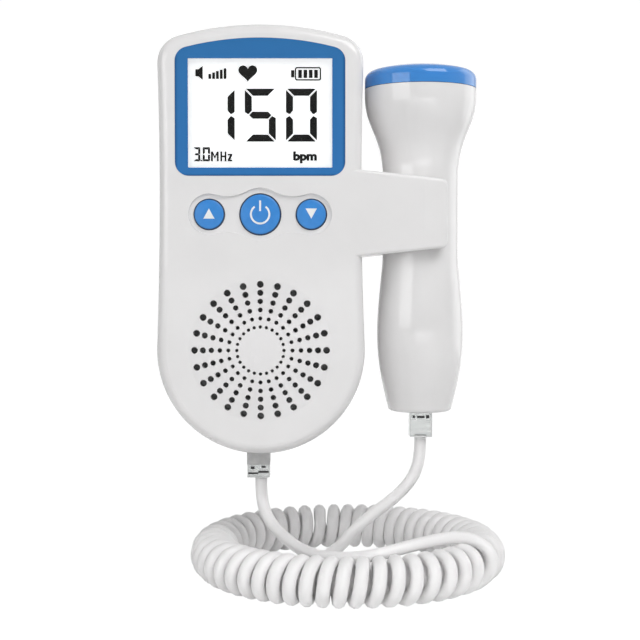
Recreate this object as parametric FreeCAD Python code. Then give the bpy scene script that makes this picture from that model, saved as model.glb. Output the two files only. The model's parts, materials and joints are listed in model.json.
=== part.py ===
import FreeCAD, Part
import math
import os

# Pocket fetal heart monitor with its probe in a side holster and a curly cord.
# Millimetres. X runs to the right of the display, Z up, and Y away from the reader.
# The origin is on the middle line of the flat back face, close to half way up the unit.

V = FreeCAD.Vector
UP = V(0, 0, 1)
RIGHT = V(1, 0, 0)
BACK = V(0, 1, 0)

# ---- driving sizes: unit case ----
unit_height = 131.6
case_top_z = 65.2
rear_depth = 17.0
waist_half_width = 30.9
waist_z = 17.0
side_radius = 1150.0
crown_radius = 94.0
shoulder_radius = 8.5
shell_wall = 2.0
front_edge_radius = 3.2
back_edge_radius = 3.0
seam_groove = 0.35

# The face below the buttons leans back a little.
face_bend_z = -8.0
face_bend_radius = 180.0
face_lean = 2.0

# ---- display ----
display_z = 38.0
display_width = 43.8
display_height = 33.0
bezel_half_width = 25.85
bezel_bottom_z = 19.0
bezel_side_top_z = 57.0
bezel_top_z = 60.7
bezel_corner_radius = 4.2
bezel_depth = 1.0
lens_depth = 1.0
lens_margin = 1.6
lcd_depth = 1.6
lcd_margin = 1.2
backlight_depth = 2.6
frame_wall = 1.0
frame_floor = 1.0
zebra_width = 2.0
zebra_length = 40.0
glue_gap = 0.05

# ---- buttons ----
button_z = 7.3
button_pitch = 15.55
side_button_radius = 4.54
power_button_radius = 6.14
button_crown = 0.5
button_edge_radius = 0.7
button_gap = 0.3
button_travel = 0.5
button_flange = 1.0
button_flange_depth = 0.9
button_rest_gap = 0.3
button_post_radius = 1.7
recess_depth = 0.8
recess_margin_side = 1.76
recess_margin_power = 1.94
recess_blend_radius = 12.5
recess_edge_radius = 0.25

# ---- switches and main board ----
display_room = 12.0
board_thickness = 1.6
board_back_gap = 1.95
board_edge_gap = 0.5
board_speaker_gap = 1.2
switch_size = 6.0
switch_body_height = 3.5
switch_stem_height = 2.0
switch_stem_radius = 1.6
switch_stem_gap = 0.15
switch_end_gap = 0.7
switch_stem_inset = 0.8
boss_radius = 2.2
board_screw_radius = 0.9
board_screw_head_radius = 1.8
board_screw_head = 1.1
upper_boss_x = 12.0
upper_boss_z = 59.6
lower_boss_x = 25.9
lower_boss_rise = 5.0
chip_height = 1.4
board_chip_places = [(-8.0, 40.0, 5.0), (9.0, 44.0, 3.5), (9.0, 31.0, 3.0)]
capacitor_x = 21.0
capacitor_drops = (17.5, 43.5)
capacitor_radius = 2.5
capacitor_length = 8.0

# ---- loudspeaker and grille ----
# The loudspeaker's place on the way from the case's lower end up to the keys.
grille_share = 0.4369064
grille_spokes = 24
grille_rings = 6
grille_first_ring = 7.2
grille_ring_pitch = 2.6
grille_first_hole = 1.03
grille_last_hole = 2.1
dome_radius = 21.9
dome_rise = 0.9
speaker_radius = 24.0
speaker_seat_width = 2.0
speaker_seat_setback = 3.8
speaker_rim_depth = 1.2
speaker_gasket_depth = 1.0
speaker_basket_depth = 4.0
speaker_basket_radius = 15.0
speaker_sheet = 0.8
magnet_radius = 12.0
magnet_depth = 3.6
cone_sheet = 0.3
cone_depth = 2.6
cone_gap = 0.3
speaker_collar = 1.3
speaker_fit = 0.3

# ---- battery bay ----
cell_radius = 7.25
cell_length = 50.5
cell_nub_length = 1.4
cell_nub_radius = 2.6
cell_gap = 0.35
cell_cover_gap = 0.3
bay_centre_z = 30.0
bay_end_room = 2.8
bay_wall = 1.5
cover_depth = 1.8
cover_ledge = 1.6
cover_gap = 0.25
cover_seat_gap = 0.1
cover_corner_radius = 3.0
grip_rib_count = 5
grip_rib_pitch = 2.0
grip_rib_width = 14.0
contact_sheet = 0.4
contact_half_width = 5.5

# ---- case screws ----
case_boss_radius = 2.4
case_screw_radius = 1.2
case_screw_head_radius = 2.2
case_screw_head = 1.8
case_screw_cover = 2.4
case_screw_slot = 0.5
case_head_gap = 0.25
case_head_wall = 1.2
shoulder_screw_reach = 4.3
shoulder_screw_angle = 20.0
low_screw_reach = 27.4
low_screw_angle = -40.0
screw_tip_length = 6.0

# ---- headphone jack ----
jack_z = 30.0
jack_bore_radius = 1.8
jack_bore_length = 13.0
jack_end_wall = 1.0
jack_nose_radius = 3.0
jack_body_height = 6.0
jack_body_width = 7.0
jack_nose_gap = 0.1

# ---- probe ----
probe_gap = 1.05
head_radius = 17.6
neck_radius = 11.85
bulge_radius = 13.6
tail_radius = 9.9
seam_z = 47.3
head_bottom_z = 45.5
neck_top_z = 19.0
neck_bottom_z = -4.0
bulge_z = -29.0
probe_bottom_z = -54.2
probe_wall = 1.8
probe_bottom_edge = 1.2
cap_side_height = 2.6
cap_edge_radius = 3.0
cap_dome_radius = 60.0
cap_top_z = 55.0
cap_seam_gap = 0.15
cap_spigot_length = 3.0
cap_spigot_wall = 1.4
cap_spigot_fit = 0.1
crystal_fit = 0.15
crystal_depth = 1.0
crystal_split = 1.0
crystal_holder_wall = 1.5
backing_depth = 4.0
lead_radius = 0.6
lead_offset = 5.0
probe_board_width = 19.6
probe_board_thickness = 1.2
probe_board_top_z = 17.0
probe_board_bottom_z = -32.0
seal_depth = 0.8
probe_chip_places = [(6.0, 3.0), (-14.0, 2.5)]

# How far each end's tangent reaches along the probe's curves, as shares of a curve's height.
flare_share_high = 0.4
flare_share_low = 0.54
swell_share_high = 0.2
swell_share_low = 0.35
taper_share_high = 0.47
taper_share_low = 0.31
taper_splay = 0.46

# ---- holster arm ----
arm_centre_z = 7.7
arm_root_half_height = 13.2
arm_tip_half_height = 10.4
arm_tip_x = 57.4
arm_corner_radius = 2.1
arm_edge_radius = 1.1
arm_back_wall = 3.0
jaw_gap = 0.3
arm_root_sink = 4.0
arm_hollow_stop = 9.0

# ---- plugs, sockets and cord ----
plug_width = 7.1
plug_depth = 6.6
plug_length = 14.5
unit_plug_shown = 8.9
probe_plug_shown = 8.2
unit_plug_x = -1.3
probe_plug_shift = 0.25
plug_nose_step = 0.5
plug_fit = 0.12
plug_contact_count = 4
plug_contact_pitch = 1.02
plug_contact_width = 0.35
plug_contact_length = 4.2
plug_contact_sink = 1.0
latch_width = 3.2
latch_thickness = 0.7
latch_length = 8.0
socket_wall = 1.6
socket_depth = 7.0
plug_mouth_gap = 0.3

cord_radius = 1.9
coil_radius = 7.35
ring_radius = 42.8
ring_x = 27.0
ring_y = -17.0
ring_z = -99.4
ring_start_angle = -28.0
ring_end_angle = -375.0
arc_share = 0.45

# Route of the straight cord from the unit's plug, over the ring, to its first turn.
unit_tail_route = [
    (-0.6, -17.0, -75.3),
    (-0.6, -17.0, -81.1),
    (0.7, -19.5, -86.4),
    (3.2, -23.8, -89.8),
    (6.7, -30.0, -91.5),
    (13.2, -40.6, -92.6),
    (21.5, -49.2, -92.6),
    (33.0, -52.8, -92.0),
    (44.6, -48.8, -91.2),
    (54.0, -42.8, -90.3),
    (61.5, -39.0, -90.2),
    (67.2, -38.2, -92.2),
]

# Route of the straight cord from the bottom of the last turn to the probe's plug.
probe_tail_route = [
    (68.34, -28.08, -104.85),
    (60.5, -27.2, -104.85),
    (54.4, -30.6, -104.85),
    (48.6, -37.0, -104.85),
    (39.6, -44.4, -104.85),
    (28.4, -47.4, -104.85),
    (17.0, -45.2, -104.85),
    (9.0, -37.4, -104.85),
    (8.6, -26.4, -104.8),
    (15.6, -18.6, -103.4),
    (24.0, -16.0, -99.0),
    (29.4, -16.2, -92.6),
    (35.8, -17.2, -86.8),
    (43.2, -17.2, -81.4),
    (48.4, -17.0, -75.2),
    (50.2, -17.0, -68.6),
    (50.2, -17.0, -62.4),
]

# ---- derived places ----
# The cells, the board and the display behind each other give the case its depth.
bay_half_width = 2 * cell_radius + 1.5 * cell_gap
bay_half_length = cell_length / 2 + bay_end_room
bay_depth = cover_depth + cell_cover_gap + 2 * cell_radius + cell_gap
board_back = bay_depth + bay_wall + board_back_gap
board_front = board_back + board_thickness
unit_depth = board_front + display_room
case_bottom_z = case_top_z - unit_height
grille_z = case_bottom_z + grille_share * (button_z - case_bottom_z)
board_bottom_z = grille_z + speaker_radius + board_speaker_gap
lower_boss_z = board_bottom_z + lower_boss_rise
parting_y = -rear_depth
face_y = -unit_depth
lean = math.radians(face_lean)


def bottom_radius():
    """Radius of the case's round end, tangent to both sides and the lowest point."""
    reach = waist_half_width + side_radius
    rise = waist_z - case_bottom_z
    return (reach ** 2 + rise ** 2 - side_radius ** 2) / (2 * (side_radius + rise))


def side_half_width(z):
    """Half width of the case at a height along its slightly waisted side."""
    return waist_half_width + side_radius - math.sqrt(side_radius ** 2 - (z - waist_z) ** 2)


round_end = bottom_radius()
round_end_z = case_bottom_z + round_end
probe_x = side_half_width(seam_z) + probe_gap + head_radius
probe_y = parting_y
jaw_radius = neck_radius + jaw_gap
lcd_half_width = display_width / 2 + lcd_margin
lcd_half_height = display_height / 2 + lcd_margin
lens_half_width = display_width / 2 + lens_margin
lens_half_height = display_height / 2 + lens_margin
lcd_face = unit_depth - bezel_depth - lens_depth - 2 * glue_gap
lcd_back = lcd_face - lcd_depth
backlight_back = lcd_back - backlight_depth
speaker_seat_depth = unit_depth - speaker_seat_setback
spigot_radius = head_radius - probe_wall - cap_spigot_fit
crystal_radius = spigot_radius - cap_spigot_wall - crystal_holder_wall - 2 * crystal_fit


# ---- small solid helpers ----
def box(x0, x1, y0, y1, z0, z1):
    """Box between two corners."""
    return Part.makeBox(x1 - x0, y1 - y0, z1 - z0, V(x0, y0, z0))


def rod(radius, start, end):
    """Cylinder from one point to another."""
    axis = end - start
    return Part.makeCylinder(radius, axis.Length, start, axis)


def tube(outer, inner, start, end):
    """Ring-shaped cylinder from one point to another."""
    reach = (end - start).normalize()
    return rod(outer, start, end).cut(rod(inner, start - reach, end + reach))


def fuse(*solids):
    """One clean solid made from several."""
    return solids[0].multiFuse(list(solids[1:])).removeSplitter()


def circles_meet(first, first_radius, second, second_radius, side):
    """Meeting point of two circles in a plane, on the left (+1) or right (-1) of the line."""
    dx = second[0] - first[0]
    dy = second[1] - first[1]
    gap = math.hypot(dx, dy)
    along = (gap ** 2 + first_radius ** 2 - second_radius ** 2) / (2 * gap)
    off = math.sqrt(first_radius ** 2 - along ** 2) * side
    return (first[0] + (along * dx - off * dy) / gap, first[1] + (along * dy + off * dx) / gap)


def toward(start, end, distance):
    """Point at a distance from start in the direction of end, in a plane."""
    reach = math.dist(start, end)
    return (
        start[0] + (end[0] - start[0]) * distance / reach,
        start[1] + (end[1] - start[1]) * distance / reach,
    )


def polar(centre, reach, degrees):
    """Plane point at a reach from a centre, at an angle up from the right."""
    angle = math.radians(degrees)
    return (centre[0] + reach * math.cos(angle), centre[1] + reach * math.sin(angle))


def upright(point, y):
    """Plane point (x, z) as a point in space at depth y."""
    return V(point[0], y, point[1])


def arc_edge(start, middle, end, y):
    """Arc through three plane points, at depth y."""
    return Part.Arc(upright(start, y), upright(middle, y), upright(end, y)).toShape()


def mirrored(point):
    """Plane point on the other side of the centre line."""
    return (-point[0], point[1])


def prism(wire, depth):
    """Solid between a closed wire and its copy moved along Y."""
    return Part.Face(wire).extrude(V(0, depth, 0))


def is_round(edge):
    """True for an edge that is a circle or part of one."""
    return not edge.Degenerated and isinstance(edge.Curve, Part.Circle)


def rim_edges(solid, y, tolerance=0.02):
    """Edges of a solid that lie in the plane at depth y."""
    flat = []
    for edge in solid.Edges:
        first, last = edge.ParameterRange
        depths = [edge.valueAt(first).y, edge.valueAt((first + last) / 2).y, edge.valueAt(last).y]
        if all(abs(depth - y) < tolerance for depth in depths):
            flat.append(edge)
    return flat


# ---- unit case ----
def case_centres():
    """Plane centres of the right side's, the crown's and the right shoulder's arcs."""
    side = (waist_half_width + side_radius, waist_z)
    crown = (0, case_top_z - crown_radius)
    shoulder = circles_meet(crown, crown_radius - shoulder_radius,
                            side, side_radius + shoulder_radius, 1)
    return side, crown, shoulder


def case_outline(inset, y):
    """Closed outline of the case at depth y, moved inwards by inset."""
    side_centre, crown_centre, shoulder = case_centres()
    end_centre = (0, round_end_z)
    low = toward(end_centre, side_centre, round_end - inset)
    waist = (waist_half_width - inset, waist_z)
    high = toward(shoulder, side_centre, shoulder_radius - inset)
    crown_end = toward(crown_centre, shoulder, crown_radius - inset)
    half_way = ((high[0] + crown_end[0]) / 2, (high[1] + crown_end[1]) / 2)
    corner = toward(shoulder, half_way, shoulder_radius - inset)
    top = (0, case_top_z - inset)
    bottom = (0, case_bottom_z + inset)
    return Part.Wire([
        arc_edge(low, waist, high, y),
        arc_edge(high, corner, crown_end, y),
        arc_edge(crown_end, top, mirrored(crown_end), y),
        arc_edge(mirrored(crown_end), mirrored(corner), mirrored(high), y),
        arc_edge(mirrored(high), mirrored(waist), mirrored(low), y),
        arc_edge(mirrored(low), bottom, low, y),
    ])


def lean_point(inset, z):
    """Depth of the leaning lower face at a height, moved inwards by inset."""
    centre_y = face_y + face_bend_radius
    radius = face_bend_radius - inset
    end_y = centre_y - radius * math.cos(lean)
    end_z = face_bend_z - radius * math.sin(lean)
    return end_y + (end_z - z) * math.tan(lean)


def lean_cutter(inset):
    """Everything in front of the face below the buttons, which bends and then leans back."""
    centre_y = face_y + face_bend_radius
    radius = face_bend_radius - inset
    reach = 2 * waist_half_width
    start = V(-reach, face_y + inset, face_bend_z)
    middle = V(-reach, centre_y - radius * math.cos(lean / 2), face_bend_z - radius * math.sin(lean / 2))
    end = V(-reach, centre_y - radius * math.cos(lean), face_bend_z - radius * math.sin(lean))
    low_z = case_bottom_z - unit_depth
    low = V(-reach, lean_point(inset, low_z), low_z)
    far_low = V(-reach, 2 * face_y, low_z)
    far_high = V(-reach, 2 * face_y, face_bend_z)
    wire = Part.Wire([
        Part.Arc(start, middle, end).toShape(),
        Part.makeLine(end, low),
        Part.makeLine(low, far_low),
        Part.makeLine(far_low, far_high),
        Part.makeLine(far_high, start),
    ])
    return Part.Face(wire).extrude(V(2 * reach, 0, 0))


def grille_axis():
    """Middle of the grille on the leaning face, and the way that face looks."""
    foot = V(0, lean_point(0, grille_z), grille_z)
    return foot, V(0, -math.cos(lean), -math.sin(lean))


def grille_dome(inset):
    """Shallow dome over the loudspeaker, with the body behind it."""
    foot, outward = grille_axis()
    sphere_radius = (dome_radius ** 2 + dome_rise ** 2) / (2 * dome_rise)
    centre = foot + outward * (dome_rise - sphere_radius)
    ball = Part.makeSphere(sphere_radius - inset, centre)
    root = foot - outward * (shell_wall + inset / 2)
    return ball.common(rod(dome_radius, root, foot + outward * shell_wall))


def front_block(inset):
    """Front half of the case as a solid, moved inwards by inset."""
    block = prism(case_outline(inset, parting_y), -(unit_depth - rear_depth - inset))
    return block.cut(lean_cutter(inset))


def arm_outline(inset, y):
    """Holster arm seen from the front: it narrows to a round-cornered tip."""
    root_x = waist_half_width - arm_root_sink
    slope = (arm_root_half_height - arm_tip_half_height) / (arm_tip_x - waist_half_width)
    root = arm_root_half_height + slope * arm_root_sink - inset
    tip = arm_tip_half_height - inset
    end_x = arm_tip_x - inset
    points = [
        upright((root_x, arm_centre_z - root), y),
        upright((end_x, arm_centre_z - tip), y),
        upright((end_x, arm_centre_z + tip), y),
        upright((root_x, arm_centre_z + root), y),
    ]
    return Part.makePolygon(points + points[:1])


def arm_block(depth, hook_radius):
    """Half of the arm from the parting plane, wrapped round the probe's neck at its tip."""
    block = prism(arm_outline(0, parting_y), depth)
    corners = [e for e in block.Edges if abs(e.CenterOfMass.x - arm_tip_x) < glue_gap
               and abs(e.tangentAt(e.FirstParameter).y) > 1 - glue_gap]
    block = block.makeFillet(arm_corner_radius, corners)
    high = arm_centre_z + 2 * arm_root_half_height
    low = arm_centre_z - 2 * arm_root_half_height
    near = box(0, probe_x, -2 * unit_depth, unit_depth, low, high)
    hook = rod(hook_radius, V(probe_x, probe_y, low), V(probe_x, probe_y, high))
    block = block.common(fuse(near, hook))
    return soften_arm(block, depth)


def soften_arm(block, depth):
    """Rounds the edges between the arm's outer face and its sides."""
    sign = math.copysign(1, depth)
    outer = []
    for edge in block.Edges:
        where = edge.CenterOfMass
        away = (where.y - parting_y) * sign
        if away > abs(depth) * 0.5 and where.x > waist_half_width - arm_root_sink + glue_gap:
            if abs(edge.tangentAt((edge.FirstParameter + edge.LastParameter) / 2).y) < 0.7:
                outer.append(edge)
    return block.makeFillet(arm_edge_radius, outer)


def holster_channel():
    """Space of the holster: a half round seat that is open to the right."""
    high = arm_centre_z + 2 * arm_root_half_height
    low = arm_centre_z - 2 * arm_root_half_height
    seat = rod(jaw_radius, V(probe_x, probe_y, low), V(probe_x, probe_y, high))
    way = box(probe_x, 2 * arm_tip_x, probe_y - jaw_radius, probe_y + jaw_radius, low, high)
    return fuse(seat, way)


def arm_hollow(front_y, back_y):
    """Hollow inside the arm's root, behind a wall round the holster."""
    hollow = prism(arm_outline(shell_wall, front_y), back_y - front_y)
    stop = probe_x - arm_hollow_stop
    high = arm_centre_z + 2 * arm_root_half_height
    low = arm_centre_z - 2 * arm_root_half_height
    hollow = hollow.common(box(waist_half_width - arm_root_sink, stop, front_y, back_y, low, high))
    seat = rod(jaw_radius + shell_wall, V(probe_x, probe_y, low), V(probe_x, probe_y, high))
    return hollow.cut(seat)


def case_screw_places():
    """Plane points of the four case screws."""
    low = polar((0, round_end_z), low_screw_reach, low_screw_angle)
    high = polar(case_centres()[2], shoulder_screw_reach, shoulder_screw_angle)
    return [high, mirrored(high), low, mirrored(low)]


def board_screw_places():
    """Plane points of the four board screws."""
    return [
        (upper_boss_x, upper_boss_z), (-upper_boss_x, upper_boss_z),
        (lower_boss_x, lower_boss_z), (-lower_boss_x, lower_boss_z),
    ]


def bezel_outline(inset, y):
    """Outline of the blue display surround: straight sides, low arched top, round corners."""
    half = bezel_half_width - inset
    bottom = bezel_bottom_z + inset
    side_top = bezel_side_top_z - inset
    top = bezel_top_z - inset
    wire = Part.Wire([
        Part.makeLine(upright((-half, bottom), y), upright((half, bottom), y)),
        Part.makeLine(upright((half, bottom), y), upright((half, side_top), y)),
        arc_edge((half, side_top), (0, top), (-half, side_top), y),
        Part.makeLine(upright((-half, side_top), y), upright((-half, bottom), y)),
    ])
    return wire


def bezel_solid(inset, front_y, back_y):
    """Bezel-shaped block with its four corners rounded."""
    block = prism(bezel_outline(inset, front_y), back_y - front_y)
    corners = [e for e in block.Edges if abs(e.tangentAt(e.FirstParameter).y) > 1 - glue_gap]
    return block.makeFillet(bezel_corner_radius - inset, corners)


def display_block(half_width, half_rise, front_y, back_y):
    """Rectangular block centred on the display."""
    return box(-half_width, half_width, front_y, back_y,
               display_z - half_rise, display_z + half_rise)


def button_places():
    """Name, centre and radius of each button."""
    return {
        "up": (-button_pitch, side_button_radius),
        "power": (0.0, power_button_radius),
        "down": (button_pitch, side_button_radius),
    }


def recess_cutter():
    """Shallow pocket whose wavy outline runs round the three buttons."""
    side = side_button_radius + recess_margin_side
    power = power_button_radius + recess_margin_power
    top_join = circles_meet(
        (0, 0), power + recess_blend_radius,
        (button_pitch, 0), side + recess_blend_radius, 1)
    power_end = toward((0, 0), top_join, power)
    side_end = toward((button_pitch, 0), top_join, side)
    dip = (top_join[0], top_join[1] - recess_blend_radius)
    y = face_y - recess_depth

    def place(point, across=1, up=1):
        return (point[0] * across, button_z + point[1] * up)

    edges = []
    edges.append(arc_edge(place(power_end, -1), (0, button_z + power), place(power_end), y))
    edges.append(arc_edge(place(power_end), place(dip), place(side_end), y))
    edges.append(arc_edge(place(side_end), (button_pitch + side, button_z), place(side_end, 1, -1), y))
    edges.append(arc_edge(place(side_end, 1, -1), place(dip, 1, -1), place(power_end, 1, -1), y))
    edges.append(arc_edge(place(power_end, 1, -1), (0, button_z - power), place(power_end, -1, -1), y))
    edges.append(arc_edge(place(power_end, -1, -1), place(dip, -1, -1), place(side_end, -1, -1), y))
    edges.append(arc_edge(place(side_end, -1, -1), (-button_pitch - side, button_z), place(side_end, -1), y))
    edges.append(arc_edge(place(side_end, -1), place(dip, -1), place(power_end, -1), y))
    pocket = prism(Part.Wire(edges), 2 * recess_depth)
    floor = rim_edges(pocket, face_y + recess_depth)
    return pocket.makeFillet(recess_edge_radius, floor)


def grille_holes():
    """Rows of round holes that grow towards the rim, as rods for cutting."""
    holes = []
    for ring in range(grille_rings):
        reach = grille_first_ring + ring * grille_ring_pitch
        share = ring / (grille_rings - 1)
        radius = (grille_first_hole + share * (grille_last_hole - grille_first_hole)) / 2
        for spoke in range(grille_spokes):
            angle = 2 * math.pi * spoke / grille_spokes
            x = reach * math.cos(angle)
            z = grille_z + reach * math.sin(angle)
            holes.append(rod(radius, V(x, -speaker_seat_depth, z), V(x, 2 * face_y, z)))
    return Part.makeCompound(holes)


def jack_nose_hole():
    """Room for the headphone jack's nose through the side wall, at the parting line."""
    y = -(board_back - jack_body_height / 2)
    return rod(jack_nose_radius + jack_nose_gap,
               V(-waist_half_width - shoulder_radius, y, jack_z),
               V(-waist_half_width + shell_wall + glue_gap, y, jack_z))


def plug_mouth():
    """Opening in the round end of the case for the cord's plug."""
    half_w = plug_width / 2 + plug_mouth_gap
    half_d = plug_depth / 2 + plug_mouth_gap
    x = unit_plug_x
    return box(x - half_w, x + half_w, parting_y - half_d - latch_thickness, parting_y + half_d,
               case_bottom_z - shell_wall, case_bottom_z + 2 * shell_wall)


def front_shell():
    """Front half of the case with the front jaw of the holster."""
    outer = front_block(0)
    rim = [e for e in outer.Edges if not isinstance(e.Curve, (Part.Line, Part.LineSegment))
           and e.CenterOfMass.y < (face_y + parting_y) / 2]
    outer = outer.makeFillet(front_edge_radius, rim)
    arm = arm_block(face_y - parting_y, unit_depth - rear_depth)
    outer = fuse(outer, grille_dome(0), arm)
    outer = outer.cut(holster_channel())
    hollow = fuse(front_block(shell_wall), grille_dome(shell_wall))
    shell = outer.cut(hollow).cut(arm_hollow(face_y + shell_wall, parting_y))
    shell = shell.fuse(front_inner_parts(hollow)).removeSplitter()
    cutters = [
        bezel_solid(-glue_gap, face_y - 1, face_y + bezel_depth + glue_gap),
        display_block(lens_half_width + glue_gap, lens_half_height + glue_gap,
                      face_y - 1, face_y + shell_wall + 1),
        recess_cutter(),
        jack_nose_hole(),
        plug_mouth(),
    ]
    for x, radius in button_places().values():
        cutters.append(rod(radius + button_gap, V(x, face_y - 1, button_z),
                           V(x, face_y + 2 * shell_wall, button_z)))
    shell = shell.cut(cutters)
    return shell.cut(grille_holes())


def front_inner_parts(hollow):
    """Bosses for the board and the case screws, and the loudspeaker's seat."""
    parts = []
    for x, z in board_screw_places():
        boss = rod(boss_radius, V(x, face_y, z), V(x, -board_front, z))
        parts.append(boss.cut(rod(board_screw_radius, V(x, -unit_depth + 2 * shell_wall, z),
                                  V(x, 0, z))))
    for x, z in case_screw_places():
        boss = rod(case_boss_radius, V(x, face_y, z), V(x, parting_y, z))
        pilot = rod(case_screw_radius, V(x, parting_y - screw_tip_length - glue_gap, z), V(x, 0, z))
        parts.append(boss.cut(pilot))
    seat = tube(speaker_radius, speaker_radius - speaker_seat_width,
                V(0, face_y, grille_z), V(0, -speaker_seat_depth, grille_z))
    collar_end = speaker_seat_depth - speaker_gasket_depth - speaker_rim_depth
    collar = tube(speaker_radius + speaker_fit + speaker_collar, speaker_radius + speaker_fit,
                  V(0, face_y, grille_z), V(0, -collar_end, grille_z))
    parts.append(seat)
    parts.append(collar)
    return parts[0].multiFuse(parts[1:]).common(front_core(hollow))


def front_core(hollow):
    """Inside of the front half, a little larger so that inner parts join the wall."""
    return fuse(hollow, front_block(shell_wall / 2))


def rear_shell():
    """Rear half of the case with the battery bay and the rear jaw of the holster."""
    outer = prism(case_outline(0, parting_y), rear_depth)
    outer = outer.makeFillet(back_edge_radius, rim_edges(outer, 0))
    groove = prism(case_outline(-seam_groove, parting_y), seam_groove)
    outer = outer.cut(groove.cut(prism(case_outline(seam_groove, parting_y), seam_groove)))
    arm = arm_block(jaw_radius + arm_back_wall, jaw_radius + arm_back_wall)
    outer = fuse(outer, arm).cut(holster_channel())
    hollow = prism(case_outline(shell_wall, parting_y), rear_depth - shell_wall)
    shell = outer.cut(hollow)
    shell = shell.cut(arm_hollow(parting_y, parting_y + jaw_radius + arm_back_wall - shell_wall))
    additions = [battery_box(bay_wall)]
    for x, z in case_screw_places():
        rear_boss = case_screw_head_radius + case_head_gap + case_head_wall
        additions.append(rod(rear_boss, V(x, parting_y, z), V(x, -shell_wall / 2, z)))
    shell = shell.multiFuse(additions).removeSplitter()
    cutters = [battery_room(), cover_seat(), jack_nose_hole(), plug_mouth()]
    for x, z in case_screw_places():
        cutters.append(rod(case_screw_radius + case_head_gap, V(x, parting_y - 1, z), V(x, 1, z)))
        cutters.append(rod(case_screw_head_radius + case_head_gap,
                           V(x, -case_screw_cover - case_screw_head, z), V(x, 1, z)))
    return shell.cut(cutters)


# ---- battery bay ----
def battery_room():
    """Space for the cells and their contacts, open at the back."""
    return box(-bay_half_width, bay_half_width, -bay_depth, 1,
               bay_centre_z - bay_half_length, bay_centre_z + bay_half_length)


def battery_box(wall):
    """Block from which the battery bay is hollowed."""
    return box(-bay_half_width - wall, bay_half_width + wall, -bay_depth - wall, -shell_wall / 2,
               bay_centre_z - bay_half_length - wall, bay_centre_z + bay_half_length + wall)


def cover_plate(inset, depth):
    """Round-cornered plate in the size of the battery cover's seat."""
    half_w = bay_half_width + cover_ledge - inset
    half_l = bay_half_length + cover_ledge - inset
    plate = box(-half_w, half_w, -depth, 0, bay_centre_z - half_l, bay_centre_z + half_l)
    corners = [e for e in plate.Edges if abs(e.tangentAt(e.FirstParameter).y) > 1 - glue_gap]
    return plate.makeFillet(cover_corner_radius - inset, corners)


def cover_seat():
    """Recess in the back face that the cover lies in."""
    return cover_plate(0, cover_depth + cover_seat_gap).fuse(
        cover_plate(0, cover_depth).translated(V(0, 1, 0)))


def battery_cover():
    """Lift-off cover, flush with the back face, with a ribbed thumb grip."""
    cover = cover_plate(cover_gap, cover_depth)
    grip_z = bay_centre_z + bay_half_length - 2 * grip_rib_pitch
    grooves = []
    for rib in range(grip_rib_count):
        z = grip_z - rib * grip_rib_pitch
        grooves.append(rod(grip_rib_pitch / 4, V(-grip_rib_width / 2, 0, z), V(grip_rib_width / 2, 0, z)))
    return cover.cut(grooves)


def cell_centre_depth():
    """Distance of the cells' axes from the back face."""
    return cover_depth + cell_cover_gap + cell_radius


def battery_cell(side):
    """One AA cell; the left one has its nub up, the right one has it down."""
    x = side * (cell_radius + cell_gap / 2)
    y = -cell_centre_depth()
    body = cell_length - cell_nub_length
    start = V(x, y, bay_centre_z + side * cell_length / 2)
    way = UP * -side
    can = rod(cell_radius, start, start + way * body)
    can = can.makeFillet(cell_gap, [e for e in can.Edges if is_round(e)])
    nub = rod(cell_nub_radius, start + way * (body - glue_gap), start + way * cell_length)
    return can.fuse(nub)


def battery_cells():
    """Both cells as one node of two solids."""
    return Part.makeCompound([battery_cell(-1), battery_cell(1)])


def contact_plate(x, z, up):
    """Flat terminal on the end wall of the bay; up is +1 at the top end."""
    y = -cell_centre_depth()
    inner = z - up * contact_sheet
    return box(x - contact_half_width, x + contact_half_width, y - contact_half_width,
               y + contact_half_width, min(z, inner), max(z, inner))


def contact_leaf(x, z, up):
    """Bent leaf spring that presses on a cell's flat end."""
    y = -cell_centre_depth()
    gap = bay_end_room - contact_sheet
    crest = z - up * (contact_sheet + gap)
    foot = z - up * contact_sheet
    outer = [V(x, y - contact_half_width, foot), V(x, y, crest), V(x, y + contact_half_width, foot)]
    sheet = V(0, 0, up * contact_sheet)
    inner = [p + sheet for p in reversed(outer)]
    face = Part.Face(Part.makePolygon(outer + inner + outer[:1]))
    half = contact_half_width / 2
    return face.extrude(V(2 * half, 0, 0)).translated(V(-half, 0, 0))


def contact_boss(x, z, up):
    """Pressed dome of a flat terminal that reaches a cell's nub."""
    y = -cell_centre_depth()
    gap = bay_end_room - contact_sheet
    start = V(x, y, z - up * contact_sheet)
    return Part.makeCone(contact_half_width, cell_nub_radius, gap, start, UP * -up)


def battery_terminals():
    """Two separate terminals at the top end of the bay."""
    x = cell_radius + cell_gap / 2
    z = bay_centre_z + bay_half_length
    flat = fuse(contact_plate(-x, z, 1), contact_boss(-x, z, 1))
    leaf = fuse(contact_plate(x, z, 1), contact_leaf(x, z, 1))
    return Part.makeCompound([flat, leaf])


def battery_link():
    """One strip at the low end of the bay that joins the cells."""
    x = cell_radius + cell_gap / 2
    y = -cell_centre_depth()
    z = bay_centre_z - bay_half_length
    strip = box(-x, x, y - contact_half_width, y + contact_half_width, z, z + contact_sheet)
    return fuse(strip, contact_plate(-x, z, -1), contact_plate(x, z, -1),
                contact_leaf(-x, z, -1), contact_boss(x, z, -1))


# ---- display ----
def display_bezel():
    """Glossy blue surround, flush with the face."""
    ring = bezel_solid(0, face_y, face_y + bezel_depth)
    opening = display_block(display_width / 2, display_height / 2, 2 * face_y, 0)
    return ring.cut(opening)


def display_lens():
    """Clear pane bonded behind the surround."""
    front = face_y + bezel_depth + glue_gap
    return display_block(lens_half_width, lens_half_height, front, front + lens_depth)


def lcd_glass():
    """Liquid crystal cell."""
    return display_block(lcd_half_width, lcd_half_height, -lcd_face, -lcd_back)


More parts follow.
